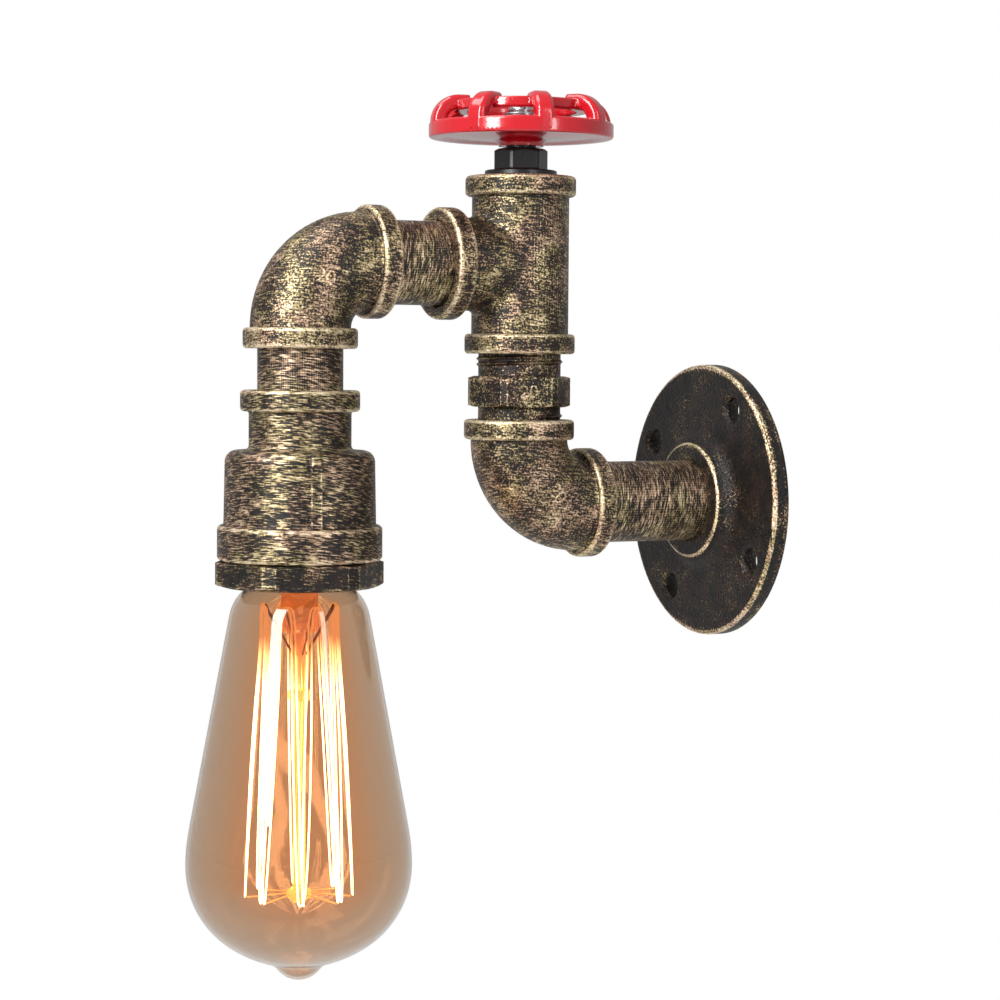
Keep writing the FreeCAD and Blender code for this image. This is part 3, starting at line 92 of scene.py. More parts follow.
headAxis = Vector((0, middle("bulb_glass").y, 0))
branchZ = middle("branch_nipple").z

view = {
    "azimuth": 62.471,          # degrees round the light, from the front towards +X
    "elevation": 3.174,
    "roll": 0.398,
    "distance": 830.07 * mm,
    "lens": 93.6,
    "sensor": 36,
    "aside": 16.73 * mm,        # the aim, to the right of the point between riser and head
    "above": 1.845 * mm,
    "aimY": -100 * mm,
    "nearest": 10 * mm,
}


def placeCamera():
    turn, tilt = math.radians(view["azimuth"]), math.radians(view["elevation"])
    back = Vector((math.sin(turn) * math.cos(tilt), -math.cos(turn) * math.cos(tilt), math.sin(tilt)))
    right = Vector((math.cos(turn), math.sin(turn), 0))
    up = back.cross(right)
    aim = Vector((0, view["aimY"], view["above"])) + right * view["aside"]
    roll = math.radians(view["roll"])
    across = right * math.cos(roll) + up * math.sin(roll)
    upward = up * math.cos(roll) - right * math.sin(roll)
    camera = bpy.data.objects.new("camera", bpy.data.cameras.new("camera"))
    scene.collection.objects.link(camera)
    turned = Matrix((across, upward, back)).transposed().to_4x4()
    camera.matrix_world = Matrix.Translation(aim + back * view["distance"]) @ turned
    camera.data.lens = view["lens"]
    camera.data.sensor_width = view["sensor"]
    camera.data.clip_start = view["nearest"]
    scene.camera = camera
    return back, right


towardsCamera, cameraRight = placeCamera()
print("camera placed")


def linear(hexText):
    # an sRGB hex colour as linear RGBA
    def channel(part):
        value = int(part, 16) / 255
        return value / 12.92 if value <= 0.04045 else ((value + 0.055) / 1.055) ** 2.4
    return tuple(channel(hexText[i:i + 2]) for i in (1, 3, 5)) + (1.0,)


def addNode(tree, kind, fields=None, inputs=None):
    # an input takes a plain value, or another node's output, which is linked to it
    node = tree.nodes.new(kind)
    for key, value in (fields or {}).items():
        setattr(node, key, value)
    for key, value in (inputs or {}).items():
        if isinstance(value, bpy.types.NodeSocket):
            tree.links.new(value, node.inputs[key])
        else:
            node.inputs[key].default_value = value
    return node


betweenColours = {"data_type": "RGBA"}      # a Mix node then has its colours at inputs 6 and 7, output 2
timesPlus = {"operation": "MULTIPLY_ADD"}   # a Math node gives input 0 times input 1, plus input 2


def newMaterial(name, **principled):
    material = bpy.data.materials.new(name)
    material.use_nodes = True
    shader = material.node_tree.nodes["Principled BSDF"]
    for key, value in principled.items():
        shader.inputs[key.replace("_", " ")].default_value = value
    return material, material.node_tree, shader


def grain(tree, coords, size, stretch=(1, 1, 1), detail=3.0, rough=0.55):
    # noise whose features measure size metres, longer where stretch is more than one
    scale = tuple(1 / (size * each) for each in stretch)
    mapping = addNode(tree, "ShaderNodeMapping", None, {"Vector": coords, "Scale": scale})
    noise = {"Scale": 1.0, "Detail": detail, "Roughness": rough, "Vector": mapping.outputs[0]}
    return addNode(tree, "ShaderNodeTexNoise", None, noise).outputs["Fac"]


bronzeLook = {
    "black": "#090808",         # stove black under the bronze
    "umber": "#1e1310",         # reddish tint where the black is thin
    "dull": "#45392b",
    "olive": "#a8976e",
    "rose": "#b3947a",
    "bright": "#eedcbc",
    "strokeLength": 3.2 * mm,
    "strokeWidth": 0.36 * mm,
    "strokeTilt": 8,            # degrees off the level
    "grit": 0.62 * mm,
    "patch": 8.0 * mm,
    "patchWeight": 0.42,
    "tintPatch": 13.0 * mm,
    "umberPatch": 3.5 * mm,
    "relief": 0.07 * mm,
    "pebbleDepth": 0.22,        # of a pebble's size
    "coverReach": 0.4,
    "fadeIn": 0.05,             # how softly the gold starts, fills and brightens
    "fullAt": 0.10,
    "brightAt": 0.30,
    "tintAt": 0.5,              # share of the brightening at which the tint is pure
    "hueEdge": (0.44, 0.56),    # noise between which olive turns to rose
    "umberEdge": (0.46, 0.60),  # noise between which black turns to umber
    "metal": 0.85,
    "roughness": 0.34,
    "grittyRoughness": 0.2,
}


def antiqueBronze(name, strokes, brushed, gritty, cover, wear=0.18, pebble=0.0):
    # Antique bronze: stove-black iron with bronze powder paint dragged over it by an almost dry
    # brush. The eye gets black pits, short gold strokes on the high places and lighter edges.
    # strokes is 1 along the directions that the brush went and 0 across them
    look = bronzeLook
    material, tree, shader = newMaterial(name, Specular_IOR_Level=0.3)
    coords = addNode(tree, "ShaderNodeTexCoord").outputs["Object"]
    tilt = math.radians(look["strokeTilt"])
    tilted = addNode(tree, "ShaderNodeMapping", None,
                     {"Vector": coords, "Rotation": (tilt, tilt, tilt * 0.5)}).outputs[0]
    size = look["strokeWidth"]
    stretch = tuple(look["strokeLength"] / size if along else 1 for along in strokes)
    brush = grain(tree, tilted, size, stretch, detail=1.5, rough=0.6)
    grit = grain(tree, coords, look["grit"], detail=1.5, rough=0.6)
    patches = grain(tree, coords, look["patch"], detail=2.5)
    worn = addNode(tree, "ShaderNodeAttribute", {"attribute_name": "wear"}).outputs["Fac"]
    paint = 0.0
    for pattern, weight in ((brush, brushed), (grit, gritty), (patches, look["patchWeight"]), (worn, wear)):
        paint = addNode(tree, "ShaderNodeMath", timesPlus, {0: pattern, 1: weight, 2: paint}).outputs[0]
    edge = (brushed + gritty + look["patchWeight"]) * 0.5 + (0.5 - cover) * look["coverReach"]
    gold = addNode(tree, "ShaderNodeMapRange", None,
                   {"Value": paint, "From Min": edge - look["fadeIn"], "From Max": edge + look["fullAt"]})
    shade = addNode(tree, "ShaderNodeMapRange", None,
                    {"Value": paint, "From Min": edge, "From Max": edge + look["brightAt"]}).outputs[0]
    tinted = addNode(tree, "ShaderNodeMapRange", None, {"Value": shade, "From Max": look["tintAt"]})
    polished = addNode(tree, "ShaderNodeMapRange", None, {"Value": shade, "From Min": look["tintAt"]})
    hues = addNode(tree, "ShaderNodeMapRange", None,
                   {"Value": grain(tree, coords, look["tintPatch"], detail=2.0),
                    "From Min": look["hueEdge"][0], "From Max": look["hueEdge"][1]})
    reds = addNode(tree, "ShaderNodeMapRange", None,
                   {"Value": grain(tree, coords, look["umberPatch"]),
                    "From Min": look["umberEdge"][0], "From Max": look["umberEdge"][1]})
    tint = addNode(tree, "ShaderNodeMix", betweenColours,
                   {0: hues.outputs[0], 6: linear(look["olive"]), 7: linear(look["rose"])})
    low = addNode(tree, "ShaderNodeMix", betweenColours,
                  {0: tinted.outputs[0], 6: linear(look["dull"]), 7: tint.outputs[2]})
    bronze = addNode(tree, "ShaderNodeMix", betweenColours,
                     {0: polished.outputs[0], 6: low.outputs[2], 7: linear(look["bright"])})
    base = addNode(tree, "ShaderNodeMix", betweenColours,
                   {0: reds.outputs[0], 6: linear(look["black"]), 7: linear(look["umber"])})
    colour = addNode(tree, "ShaderNodeMix", betweenColours,
                     {0: gold.outputs[0], 6: base.outputs[2], 7: bronze.outputs[2]})
    metallic = addNode(tree, "ShaderNodeMath", timesPlus, {0: gold.outputs[0], 1: look["metal"], 2: 0.0})
    rough = addNode(tree, "ShaderNodeMath", timesPlus,
                    {0: grit, 1: look["grittyRoughness"], 2: look["roughness"]})
    tree.links.new(colour.outputs[2], shader.inputs["Base Color"])
    tree.links.new(metallic.outputs[0], shader.inputs["Metallic"])
    tree.links.new(rough.outputs[0], shader.inputs["Roughness"])
    relief = [(brush, brushed * 2 * look["relief"]), (grit, gritty * 4 * look["relief"])]
    if pebble:
        cells = addNode(tree, "ShaderNodeMapping", None, {"Vector": coords, "Scale": (1 / pebble,) * 3})
        stones = addNode(tree, "ShaderNodeTexVoronoi", None, {"Vector": cells.outputs[0], "Scale": 1.0})
        relief.append((stones.outputs["Distance"], -pebble * look["pebbleDepth"]))
    height = 0.0
    for pattern, depth in relief:
        height = addNode(tree, "ShaderNodeMath", timesPlus, {0: pattern, 1: depth, 2: height}).outputs[0]
    bump = addNode(tree, "ShaderNodeBump", None, {"Strength": 1.0, "Distance": 1.0, "Height": height})
    tree.links.new(bump.outputs[0], shader.inputs["Normal"])
    return material


glossLook = {
    "darker": 3,                # how far the tone drifts, in spreads
    "lighter": 2,
    "smoother": 0.03,
    "roughDrift": 0.08,
    "coatRoughness": 0.05,
    "peel": 0.8 * mm,           # width of the orange peel
}


def gloss(name, hexText, rough, metal=0.0, spread=0.06, coat=0.0, grainSize=3 * mm, bumpy=0.0):
    # an even finish whose tone and roughness drift a little, as they do on any made surface
    look = glossLook
    material, tree, shader = newMaterial(name, Metallic=metal, Coat_Weight=coat,
                                         Coat_Roughness=look["coatRoughness"])
    coords = addNode(tree, "ShaderNodeTexCoord").outputs["Object"]
    drift = grain(tree, coords, grainSize, detail=4.0)
    base = linear(hexText)
    darker = tuple(each * (1 - look["darker"] * spread) for each in base[:3]) + (1,)
    lighter = tuple(min(1, each * (1 + look["lighter"] * spread)) for each in base[:3]) + (1,)
    tone = addNode(tree, "ShaderNodeMix", betweenColours, {0: drift, 6: darker, 7: lighter})
    tree.links.new(tone.outputs[2], shader.inputs["Base Color"])
    roughness = addNode(tree, "ShaderNodeMath", timesPlus,
                        {0: drift, 1: look["roughDrift"], 2: rough - look["smoother"]})
    tree.links.new(roughness.outputs[0], shader.inputs["Roughness"])
    if bumpy:
        fine = grain(tree, coords, look["peel"], detail=2.0)
        bump = addNode(tree, "ShaderNodeBump", None, {"Strength": 1.0, "Distance": bumpy, "Height": fine})
        tree.links.new(bump.outputs[0], shader.inputs["Normal"])
    return material


level = (1, 1, 0)       # brushed round a part that stands upright
upAndOver = (1, 0, 1)   # brushed round a part that lies along Y

materials = {
    # rough castings: as much grit as brush strokes
    "elbow": antiqueBronze("antique bronze on cast iron elbow", level, 0.6, 0.7, 0.58),
    "tee": antiqueBronze("antique bronze on cast iron tee", level, 0.6, 0.7, 0.54),
    "hexagon": antiqueBronze("antique bronze on hexagon nipple", level, 0.4, 0.9, 0.44),
    # smoother castings and drawn pipe: clear strokes round the part
    "reducer": antiqueBronze("antique bronze on cast iron reducer", level, 1.0, 0.3, 0.54),
    "ring": antiqueBronze("antique bronze on hexagon ring", level, 0.8, 0.45, 0.36),
    "uprightPipe": antiqueBronze("antique bronze on upright pipe", level, 1.0, 0.3, 0.58),
    "levelPipe": antiqueBronze("antique bronze on level pipe", upAndOver, 0.95, 0.4, 0.56),
    # sand casting: nearly black and pebbled, with gold only along its edges
    "flange": antiqueBronze("antique bronze on cast iron flange", level, 0.1, 0.9, 0.20, 0.34, 0.95 * mm),
    # cut thread: black in its grooves, gold on its crests
    "thread": antiqueBronze("antique bronze on cut thread", level, 0.3, 0.5, 0.30, 0.3),
    # gloss enamel over a zinc casting: wet highlights, faint orange peel
    "redEnamel": gloss("red enamel on zinc casting", "#b80d1c", 0.16, 0.0, 0.05, 0.5, 6 * mm, 0.02 * mm),
    # brushed-on satin paint: soft sheen, a little lumpy
    "blackPaint": gloss("satin black paint on steel", "#0c0c0d", 0.35, 0.0, 0.1, 0.0, 1 * mm, 0.06 * mm),
    # bright zinc plate: cool grey with clear highlights
    "zinc": gloss("zinc plated steel", "#b9bcc0", 0.28, 1.0),
    # turned steel blackened in oil: dark grey with a blurred sheen
    "darkSteel": gloss("oil blackened turned steel", "#3a3b3d", 0.42, 1.0, 0.08),
    # pressed brass sheet: warm yellow with clear highlights
    "brass": gloss("pressed brass", "#c9a45c", 0.25, 1.0),
    # solder that has flowed and dulled: pale grey with a blurred sheen
    "solder": gloss("dull tin solder", "#a3a6a8", 0.4, 1.0, 0.08),
    # drawn nickel, painted brown for the filament's warm light falling on it
    "supports": gloss("nickel support wire", "#8a5f3c", 0.35, 1.0),
    # glazed porcelain: warm white under a glassy skin
    "porcelain": gloss("white glazed porcelain", "#efece4", 0.12, 0.0, 0.02, 0.5),
    # moulded black glass: deep black with sharp highlights
    "capGlass": gloss("black moulded cap glass", "#0b0b0e", 0.1, 0.0, 0.05, 0.3),
    # extruded PVC: even colour, soft highlights
    "brownLead": gloss("brown PVC sheath", "#4b2a1a", 0.4),
    "blueLead": gloss("blue PVC sheath", "#274b8c", 0.4),
}

lampLook = {
    # the tint, from where the glass is looked straight through (0) to its rim (1)
    "amberStops": ((0.05, "#dcb491"), (0.24, "#cdbeae"), (0.9, "#c4bab0")),
    "facingBlend": 0.35,
    "amberIor": 1.45,
    "clearIor": 1.5,
    "clearTint": "#ffe3c2",
    "clearShare": 0.8,
    "coolLevel": -40 * mm,      # the glow grows from here down to the next level
    "hotLevel": -58 * mm,
    "coolStrength": 1.2,
    "coolColour": "#ffb070",
    "wireStrength": 12.0,
    "wireColour": "#ffe2bc",
    "carbon": "#3a2a1a",
    # painted glow of the glass mount, for the filament's light in it
    "rodOrange": "#ff8a4a",
    "rodYellow": "#ffc64a",
    "rodStrength": 0.2,
    "rodExtra": 0.55,
    # painted glow on the lower support wires, for the filament's light on them
    "paintedGlowColour": "#ffc27a",
    "paintedGlowStrength": 0.9,
    "supportDark": "#b98a5c",
    "supportLight": "#e0b98c",
    "supportGrain": 1.5 * mm,
}


def amberGlass():
    # blown soda glass with an amber tint: orange where it is looked straight through, greyer at its rim
    look = lampLook
    material, tree, shader = newMaterial("amber tinted blown glass", Roughness=0.0, IOR=look["amberIor"],
                                         Transmission_Weight=1.0)
    facing = addNode(tree, "ShaderNodeLayerWeight", None, {"Blend": look["facingBlend"]}).outputs["Facing"]
    tint = addNode(tree, "ShaderNodeValToRGB", None, {"Fac": facing})
    stops = tint.color_ramp.elements
    stops.new(0.5)      # a new ramp has only its two ends
    for stop, (place, colour) in zip(stops, look["amberStops"]):
        stop.position = place
        stop.color = linear(colour)
    tree.links.new(tint.outputs["Color"], shader.inputs["Base Color"])
    return material


def hotterDown(tree, cool, hot, coolStrength, extra):
    # a colour and a strength that change from the cool level down to the hot one
    coords = addNode(tree, "ShaderNodeTexCoord").outputs["Object"]
    height = addNode(tree, "ShaderNodeSeparateXYZ", None, {0: coords}).outputs["Z"]
    heat = addNode(tree, "ShaderNodeMapRange", None,
                   {"Value": height, "From Min": lampLook["coolLevel"], "From Max": lampLook["hotLevel"]})
    colour = addNode(tree, "ShaderNodeMix", betweenColours,
                     {0: heat.outputs[0], 6: linear(lampLook[cool]), 7: linear(lampLook[hot])})
    strength = addNode(tree, "ShaderNodeMath", timesPlus, {0: heat.outputs[0], 1: extra, 2: coolStrength})
    return colour.outputs[2], strength.outputs[0]


def glowingWire():
    # carbon wire at glow: orange in the cool arches at the top, blown out to white below
    look = lampLook
    material, tree, shader = newMaterial("glowing carbon filament", Roughness=0.5,
                                         Base_Color=linear(look["carbon"]))
    extra = look["wireStrength"] - look["coolStrength"]
    colour, strength = hotterDown(tree, "coolColour", "wireColour", look["coolStrength"], extra)
    tree.links.new(colour, shader.inputs["Emission Color"])
    tree.links.new(strength, shader.inputs["Emission Strength"])
    return material


def paintedGlowSupportWire():
    # molybdenum wire with a painted glow and a warm tone that stand in for the light of the filament that
    # it carries
    look = lampLook
    material, tree, shader = newMaterial("molybdenum wire with painted glow", Roughness=0.35, Metallic=1.0,
                                         Emission_Color=linear(look["paintedGlowColour"]),
                                         Emission_Strength=look["paintedGlowStrength"])
    coords = addNode(tree, "ShaderNodeTexCoord").outputs["Object"]
    tone = addNode(tree, "ShaderNodeMix", betweenColours,
                   {0: grain(tree, coords, look["supportGrain"]), 6: linear(look["supportDark"]),
                    7: linear(look["supportLight"])})
    tree.links.new(tone.outputs[2], shader.inputs["Base Color"])
    return material


def clearGlass():
    # drawn lead glass with a painted glow for the filament's light that fills it: orange above, yellow
    # between the beads
    look = lampLook
    material, tree, shader = newMaterial("clear lead glass with painted glow", Roughness=0.03, IOR=look["clearIor"],
                                         Transmission_Weight=look["clearShare"],
                                         Base_Color=linear(look["clearTint"]))
    colour, strength = hotterDown(tree, "rodOrange", "rodYellow", look["rodStrength"], look["rodExtra"])
    tree.links.new(colour, shader.inputs["Emission Color"])
    tree.links.new(strength, shader.inputs["Emission Strength"])
    return material


materials["amberGlass"] = amberGlass()
materials["filament"] = glowingWire()
materials["paintedGlowSupports"] = paintedGlowSupportWire()
materials["clearGlass"] = clearGlass()
print("materials made")

# skins are merged copies of the frame's nodes, with smooth shading and wear along their edges

skins = {
    "wall_flange": "flange", "lower_elbow": "elbow", "upper_elbow": "elbow", "tee": "tee",
    "hex_nipple": "hexagon", "lower_nipple": "levelPipe", "branch_nipple": "levelPipe",
    "drop_nipple": "uprightPipe", "reducer": "reducer", "retaining_ring": "ring",
    "stem_bushing": "blackPaint", "handwheel": "redEnamel", "bulb_glass": "amberGlass",
    "bulb_cap": "brass", "holder_body": "porcelain", "glass_mount": "clearGlass",
}
unworn = ("amberGlass", "clearGlass", "porcelain", "brass")
plain = {
    "valve_spindle": "darkSteel", "spindle_clip": "zinc", "wheel_washer": "zinc", "wheel_screw": "zinc",
    "holder_shell": "brass", "centre_contact": "brass", "live_terminal": "brass",
    "neutral_terminal": "brass", "terminal_screws": "zinc", "live_lead": "brownLead",
    "neutral_lead": "blueLead", "cap_insulator": "capGlass", "cap_contact": "solder",
    "upper_supports": "supports", "lower_supports": "paintedGlowSupports", "lead_in_wires": "supports",
}
skinLook = {
    "merge": 0.002 * mm,
    "sharp": 32,                # degrees
    "longest": 1.3 * mm,
    "rounds": 7,
    "mostFaces": 170000,
    "bendMost": 1.5,            # per mm
    "softenings": 2,
    "wearLow": 0.08,
    "wearHigh": 0.42,
}


def bodyOf(node):
    return frame["nodes"][node]["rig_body"]


def linkPiece(name, bm, material, node, replaced=True, sharp=skinLook["sharp"]):
    # a finished bmesh as a piece that rides with a node's body
    mesh = bpy.data.meshes.new(name)
    bm.to_mesh(mesh)
    bm.free()
    mesh.materials.append(materials[material])
    piece = bpy.data.objects.new(name, mesh)
    scene.collection.objects.link(piece)
    mesh.polygons.foreach_set("use_smooth", [True] * len(mesh.polygons))
    mesh.set_sharp_from_angle(angle=math.radians(sharp))
    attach(piece, bodyOf(node))
    if replaced:
        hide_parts(node)


def splitLong(bm):
    for _ in range(skinLook["rounds"]):
        long = [edge for edge in bm.edges if edge.calc_length() > skinLook["longest"]]
        if not long or len(bm.faces) + 2 * len(long) > skinLook["mostFaces"]:
            return
        bmesh.ops.subdivide_edges(bm, edges=long, cuts=1)
        bmesh.ops.triangulate(bm, faces=[face for face in bm.faces if len(face.verts) > 3])


def addWear(bm):
    # how strongly the surface bends outwards round each point, per mm, softened over its neighbours
    layer = bm.verts.layers.float.new("wear")
    bends = {}
    for vert in bm.verts:
        turned = sum(edge.calc_length() * edge.calc_face_angle_signed(0)
                     for edge in vert.link_edges if len(edge.link_faces) == 2)
        area = sum(face.calc_area() for face in vert.link_faces) / 3
        bends[vert] = min(skinLook["bendMost"], turned / 4 / max(area, 1e-12) * mm)
    for _ in range(skinLook["softenings"]):
        bends = {vert: (bend + sum(bends[edge.other_vert(vert)] for edge in vert.link_edges))
                 / (1 + len(vert.link_edges)) for vert, bend in bends.items()}
    span = skinLook["wearHigh"] - skinLook["wearLow"]
    for vert, bend in bends.items():
        vert[layer] = min(1, max(0, (bend - skinLook["wearLow"]) / span))


def addSkin(node, material):
    bm = bmesh.new()
    bm.from_mesh(frame["nodes"][node].data)
    bmesh.ops.remove_doubles(bm, verts=bm.verts, dist=skinLook["merge"])
    if material not in unworn:
        splitLong(bm)
        addWear(bm)
    linkPiece(node + "_skin", bm, material, node)


for node, material in skins.items():
    addSkin(node, material)
for node, material in plain.items():
    mesh = frame["nodes"][node].data
    mesh.materials.clear()
    mesh.materials.append(materials[material])
print("skins made")


def surfaceOf(node):
    bm = bmesh.new()
    bm.from_mesh(frame["nodes"][node].data)
    tree = BVHTree.FromBMesh(bm)
    bm.free()
    return tree


def bmeshOf(name, data):
    # a curve or text as a bmesh
    holder = bpy.data.objects.new(name, data)
    bm = bmesh.new()
    bm.from_mesh(bpy.data.meshes.new_from_object(holder))
    bpy.data.objects.remove(holder)
    return bm


# the filament: one carbon wire that runs up and down round the cage, in a round arch at each upper hook

cage = {
    "hooks": 8,
    "laps": 2,                  # the wire goes round the cage twice, side by side
    "lapShift": 1.1 * mm,
    "topRadius": 12.2 * mm,
    "footRadius": 16.8 * mm,
    "thickness": 0.55 * mm,
    "archHalf": 2.1 * mm,
    "archDrop": 2.4 * mm,
    "shoulderDrop": 12 * mm,
    "shoulderWider": 1.1,
    "footRise": 3 * mm,
    "footShare": 0.9,           # of the way round to the next lower hook
    "halfwayShare": 0.68,
    "overHook": 0.3 * mm,
    "sway": 0.5 * mm,
    "seed": 4,
}


def cagePoints():
    low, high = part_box("filament")
    top, foot = high.z - cage["thickness"] / 2, low.z + cage["thickness"] / 2
    step = math.pi / cage["hooks"]
    arch = cage["archHalf"] / cage["topRadius"]
    drift = random.Random(cage["seed"])
    points = []

    def place(radius, height, turn):
        points.append(headAxis + Vector((radius * math.cos(turn), radius * math.sin(turn), height)))

    def halfway(turn):
        radius = (cage["topRadius"] + cage["footRadius"]) / 2 + drift.uniform(-1, 1) * cage["sway"]
        place(radius, (top + foot) / 2, turn + drift.uniform(-1, 1) * cage["sway"] / radius)

    for hook in range(cage["hooks"] * cage["laps"]):
        turn = 2 * hook * step + hook // cage["hooks"] * cage["lapShift"] / cage["topRadius"]
        place(cage["footRadius"], foot + cage["footRise"], turn - step * cage["footShare"])
        halfway(turn - step * cage["halfwayShare"])
        place(cage["topRadius"], top - cage["shoulderDrop"], turn - arch * cage["shoulderWider"])
        place(cage["topRadius"], top - cage["archDrop"], turn - arch)
        place(cage["topRadius"], top + cage["overHook"], turn - arch / 2)
        place(cage["topRadius"], top + cage["overHook"], turn + arch / 2)
        place(cage["topRadius"], top - cage["archDrop"], turn + arch)
        place(cage["topRadius"], top - cage["shoulderDrop"], turn + arch * cage["shoulderWider"])
        halfway(turn + step * cage["halfwayShare"])
        place(cage["footRadius"], foot + cage["footRise"], turn + step * cage["footShare"])
        place(cage["footRadius"], foot - cage["overHook"], turn + step)
    return points


def addFilament():
    points = cagePoints()
    curve = bpy.data.curves.new("filament_wire", "CURVE")
    curve.dimensions = "3D"
    curve.bevel_depth = cage["thickness"] / 2
    curve.bevel_resolution = 1
    curve.resolution_u = 4
    spline = curve.splines.new("NURBS")
    spline.points.add(len(points) - 1)
    for control, point in zip(spline.points, points):
        control.co = (*point, 1)
    spline.use_cyclic_u = True
    spline.order_u = 3
    linkPiece("filament_wire", bmeshOf("filament_wire", curve), "filament", "filament")


addFilament()
print("filament made")

# threads that show between the fittings: 3/4 inch pipe thread, 14 to the inch

upwards, forwards = Vector((0, 0, 1)), Vector((0, -1, 0))
threadLook = {
    "pitch": 1.814 * mm,
    "halfWidth": 0.46,          # of the pitch
    "height": 0.7 * mm,
    "shallowHeight": 0.35 * mm,
    "sink": 0.1 * mm,
    "stepsPerTurn": 48,
    "clear": 0.15 * mm,         # from the fitting's face
    "probe": 50 * mm,           # how far out the pipe's radius is felt from
    "wear": 0.6,
    "sharp": 60,
}
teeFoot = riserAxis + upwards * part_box("tee")[0].z
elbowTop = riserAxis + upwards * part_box("lower_elbow")[1].z
teeFront = Vector((0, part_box("tee")[0].y, branchZ))
threads = {
    # name: node, middle of the fitting's face, direction, length, height
    "upper_riser_thread": ("hex_nipple", teeFoot, -upwards, 4.8 * mm, threadLook["height"]),
    "lower_riser_thread": ("hex_nipple", elbowTop, upwards, 2.6 * mm, threadLook["height"]),
    "branch_thread": ("branch_nipple", teeFront, forwards, 5.2 * mm, threadLook["shallowHeight"]),
}


def addThread(name, node, face, along, length, height):
    # a ridge wound along the pipe, from just outside a fitting's face
    look = threadLook
    outwards = Vector((1, 0, 0))
    probe = face + along * (length / 2) + outwards * look["probe"]
    radius = look["probe"] - surfaceOf(node).ray_cast(probe, -outwards)[3]
    half = look["pitch"] * look["halfWidth"]
    start = face + along * (look["clear"] + half)
    root = radius - look["sink"]
    bm = bmesh.new()
    layer = bm.verts.layers.float.new("wear")
    verts = [bm.verts.new(start + outwards * out + along * aside)
             for out, aside in ((root, -half), (radius + height, 0), (root, half))]
    edges = [bm.edges.new((verts[i - 1], verts[i])) for i in range(3)]
    turns = (length - 2 * half - look["clear"]) / look["pitch"]
    rise = along * (look["pitch"] / look["stepsPerTurn"])
    bmesh.ops.spin(bm, geom=verts + edges, cent=start, axis=along, dvec=rise, angle=turns * 2 * math.pi,
                   steps=round(turns * look["stepsPerTurn"]))
    bmesh.ops.holes_fill(bm, edges=[edge for edge in bm.edges if edge.is_boundary], sides=0)
    bmesh.ops.recalc_face_normals(bm, faces=bm.faces[:])
    for vert in bm.verts:
        fromAxis = vert.co - face
        fromAxis -= along * fromAxis.dot(along)
        vert[layer] = look["wear"] if fromAxis.length > radius + height / 2 else 0
    linkPiece(name, bm, "thread", node, False, look["sharp"])


for name, thread in threads.items():
    addThread(name, *thread)
print("threads cut")

# plain raised numbers, the nominal bore in millimetres, cast on the fittings

numberLook = {
    "proud": 0.4 * mm,
    "sink": 0.15 * mm,
    "reach": 6 * mm,
    "depth": 0.1 * mm,
    "sizeForHeight": 1.4,
    "wear": 0.75,
    "sharp": 50,
}
numbers = {
    # name: text, node, where in the photograph's frame, height, turn in degrees, material
    "number_upper_elbow": ("20", "upper_elbow", (326, 277), 4.6 * mm, -12, "elbow"),
    "number_upper_collar": ("2", "upper_elbow", (320, 335), 2.6 * mm, 0, "elbow"),
    "number_lower_elbow": ("20", "lower_elbow", (557, 494), 4.6 * mm, -52, "elbow"),
    "number_tee": ("20", "tee", (543, 280), 4.6 * mm, -70, "tee"),
    "number_hexagon": ("20", "hex_nipple", (529, 392), 4.2 * mm, 0, "hexagon"),
}


def addNumber(name, text, node, pixel, height, turn, material):
    look = numberLook
    surface = surfaceOf(node)
    across, upward, back = (scene.camera.matrix_world.col[i].to_3d() for i in range(3))
    aim = across * (pixel[0] / photoWidth - 0.5) + upward * (0.5 - pixel[1] / photoWidth)
    aim = aim * view["sensor"] / view["lens"] - back
    spot, outwards = surface.ray_cast(scene.camera.matrix_world.translation, aim)[:2]
    flatUp = (upwards - outwards * upwards.dot(outwards)).normalized()
    flatUp.rotate(Matrix.Rotation(math.radians(turn), 3, outwards))
    flatRight = flatUp.cross(outwards)
    lettering = bpy.data.curves.new(name, "FONT")
    lettering.body = text
    lettering.size = height * look["sizeForHeight"]
    lettering.align_x = "CENTER"
    lettering.align_y = "CENTER"
    lettering.extrude = look["depth"]
    bm = bmeshOf(name, lettering)
    bmesh.ops.remove_doubles(bm, verts=bm.verts, dist=skinLook["merge"])
    layer = bm.verts.layers.float.new("wear")
    for vert in bm.verts:
        top = vert.co.z > 0
        over = spot + flatRight * vert.co.x + flatUp * vert.co.y + outwards * look["reach"]
        under = surface.ray_cast(over, -outwards, 2 * look["reach"])[0]
        vert.co = under + outwards * (look["proud"] if top else -look["sink"])
        vert[layer] = look["wear"] if top else 0
    linkPiece(name, bm, material, node, False, look["sharp"])


for name, number in numbers.items():
    addNumber(name, *number)
print("numbers raised")

studio = {
    "lamps": {
        # name: towards the camera, to its right and up, distance, size, watts
        "key": ((0.8, -0.55, 0.45), 0.95, (0.28, 0.8), 13.0),
        "fill": ((0.75, 0.65, 0.2), 1.0, (0.14, 0.9), 3.2),
        "rim": ((0.1, -0.4, 1.0), 0.9, (0.5, 0.5), 4.0),
    },
    "ambient": 0.22,
    "glossyShare": 0.35,        # how much of the white backdrop the metal shows
    "floorDrop": 0.35,
    "floorSize": 6.0,
    "floorDark": "#f4f4f4",
    "floorLight": "#f8f8f8",
    "floorPatch": 0.4,
    "floorEdge": (0.3, 0.7),    # noise between which the dark patches turn to light
    "whiteShare": 0.95,         # the floor keeps its shadow near the light
    "shadowReach": 0.5,
    "whiteFrom": 1.3,           # and is plain white from here on
}


def areaLight(name, place, distance, size, watts):
    towards = towardsCamera * place[0] + cameraRight * place[1] + upwards * place[2]
    light = bpy.data.lights.new(name, "AREA")
    light.shape = "RECTANGLE"
    light.size, light.size_y = size
    light.energy = watts
    lamp = bpy.data.objects.new(name, light)
    scene.collection.objects.link(lamp)
    lamp.location = Vector((0, view["aimY"], 0)) + towards.normalized() * distance
    lamp.rotation_euler = towards.to_track_quat("Z", "Y").to_euler()


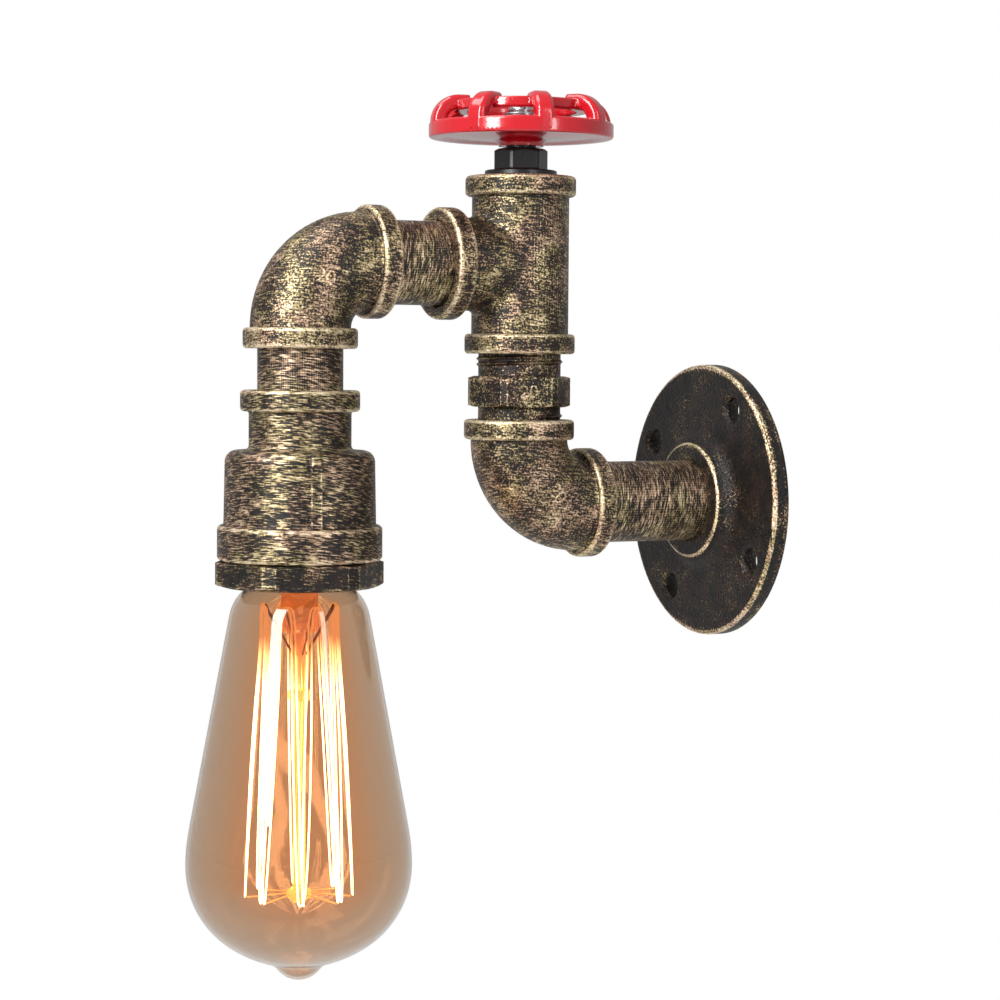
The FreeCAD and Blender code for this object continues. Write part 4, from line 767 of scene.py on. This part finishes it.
def backdropShare(tree):
    # how much of the plain white a ray gets to see
    path = addNode(tree, "ShaderNodeLightPath").outputs
    straight = addNode(tree, "ShaderNodeMath", {"operation": "MAXIMUM"},
                       {0: path["Is Camera Ray"], 1: path["Is Transmission Ray"]})
    mirrored = addNode(tree, "ShaderNodeMath", {"operation": "MULTIPLY"},
                       {0: path["Is Glossy Ray"], 1: studio["glossyShare"]})
    share = addNode(tree, "ShaderNodeMath", {"operation": "MAXIMUM"},
                    {0: straight.outputs[0], 1: mirrored.outputs[0]})
    return share.outputs[0]


def addWorld():
    world = bpy.data.worlds.new("studio")
    scene.world = world
    world.use_nodes = True
    tree = world.node_tree
    tree.nodes.clear()
    soft, white = (addNode(tree, "ShaderNodeBackground", None, {"Color": (1, 1, 1, 1), "Strength": each})
                   for each in (studio["ambient"], 1.0))
    mix = addNode(tree, "ShaderNodeMixShader", None,
                  {0: backdropShare(tree), 1: soft.outputs[0], 2: white.outputs[0]})
    addNode(tree, "ShaderNodeOutputWorld", None, {0: mix.outputs[0]})


def floorPaint():
    # matt white emulsion, rolled: even and without gloss
    material, tree, shader = newMaterial("matt white floor paint", Roughness=0.8)
    coords = addNode(tree, "ShaderNodeTexCoord").outputs["Object"]
    patches = addNode(tree, "ShaderNodeMapRange", None,
                      {"Value": grain(tree, coords, studio["floorPatch"], detail=2.0),
                       "From Min": studio["floorEdge"][0], "From Max": studio["floorEdge"][1]})
    tone = addNode(tree, "ShaderNodeMix", betweenColours,
                   {0: patches.outputs[0], 6: linear(studio["floorDark"]), 7: linear(studio["floorLight"])})
    tree.links.new(tone.outputs[2], shader.inputs["Base Color"])
    away = addNode(tree, "ShaderNodeVectorMath", {"operation": "LENGTH"}, {0: coords}).outputs["Value"]
    whiter = addNode(tree, "ShaderNodeMapRange", None,
                     {"Value": away, "From Min": studio["shadowReach"], "From Max": studio["whiteFrom"],
                      "To Min": studio["whiteShare"], "To Max": 1.0})
    glow = addNode(tree, "ShaderNodeEmission", None, {"Strength": 1.0})
    share = addNode(tree, "ShaderNodeMath", {"operation": "MULTIPLY"},
                    {0: backdropShare(tree), 1: whiter.outputs[0]})
    mixed = addNode(tree, "ShaderNodeMixShader", None,
                    {0: share.outputs[0], 1: shader.outputs[0], 2: glow.outputs[0]})
    output = next(node for node in tree.nodes if node.type == "OUTPUT_MATERIAL")
    tree.links.new(mixed.outputs[0], output.inputs["Surface"])
    return material


def addFloor():
    bm = bmesh.new()
    bmesh.ops.create_grid(bm, x_segments=2, y_segments=2, size=studio["floorSize"])
    bmesh.ops.translate(bm, verts=bm.verts, vec=(0, 0, cadBox[0][2] - studio["floorDrop"]))
    mesh = bpy.data.meshes.new("floor")
    bm.to_mesh(mesh)
    bm.free()
    mesh.materials.append(floorPaint())
    floor = bpy.data.objects.new("floor", mesh)
    scene.collection.objects.link(floor)


for name, lamp in studio["lamps"].items():
    areaLight(name, *lamp)
addWorld()
addFloor()
scene.view_settings.view_transform = "Standard"
print("studio lit")
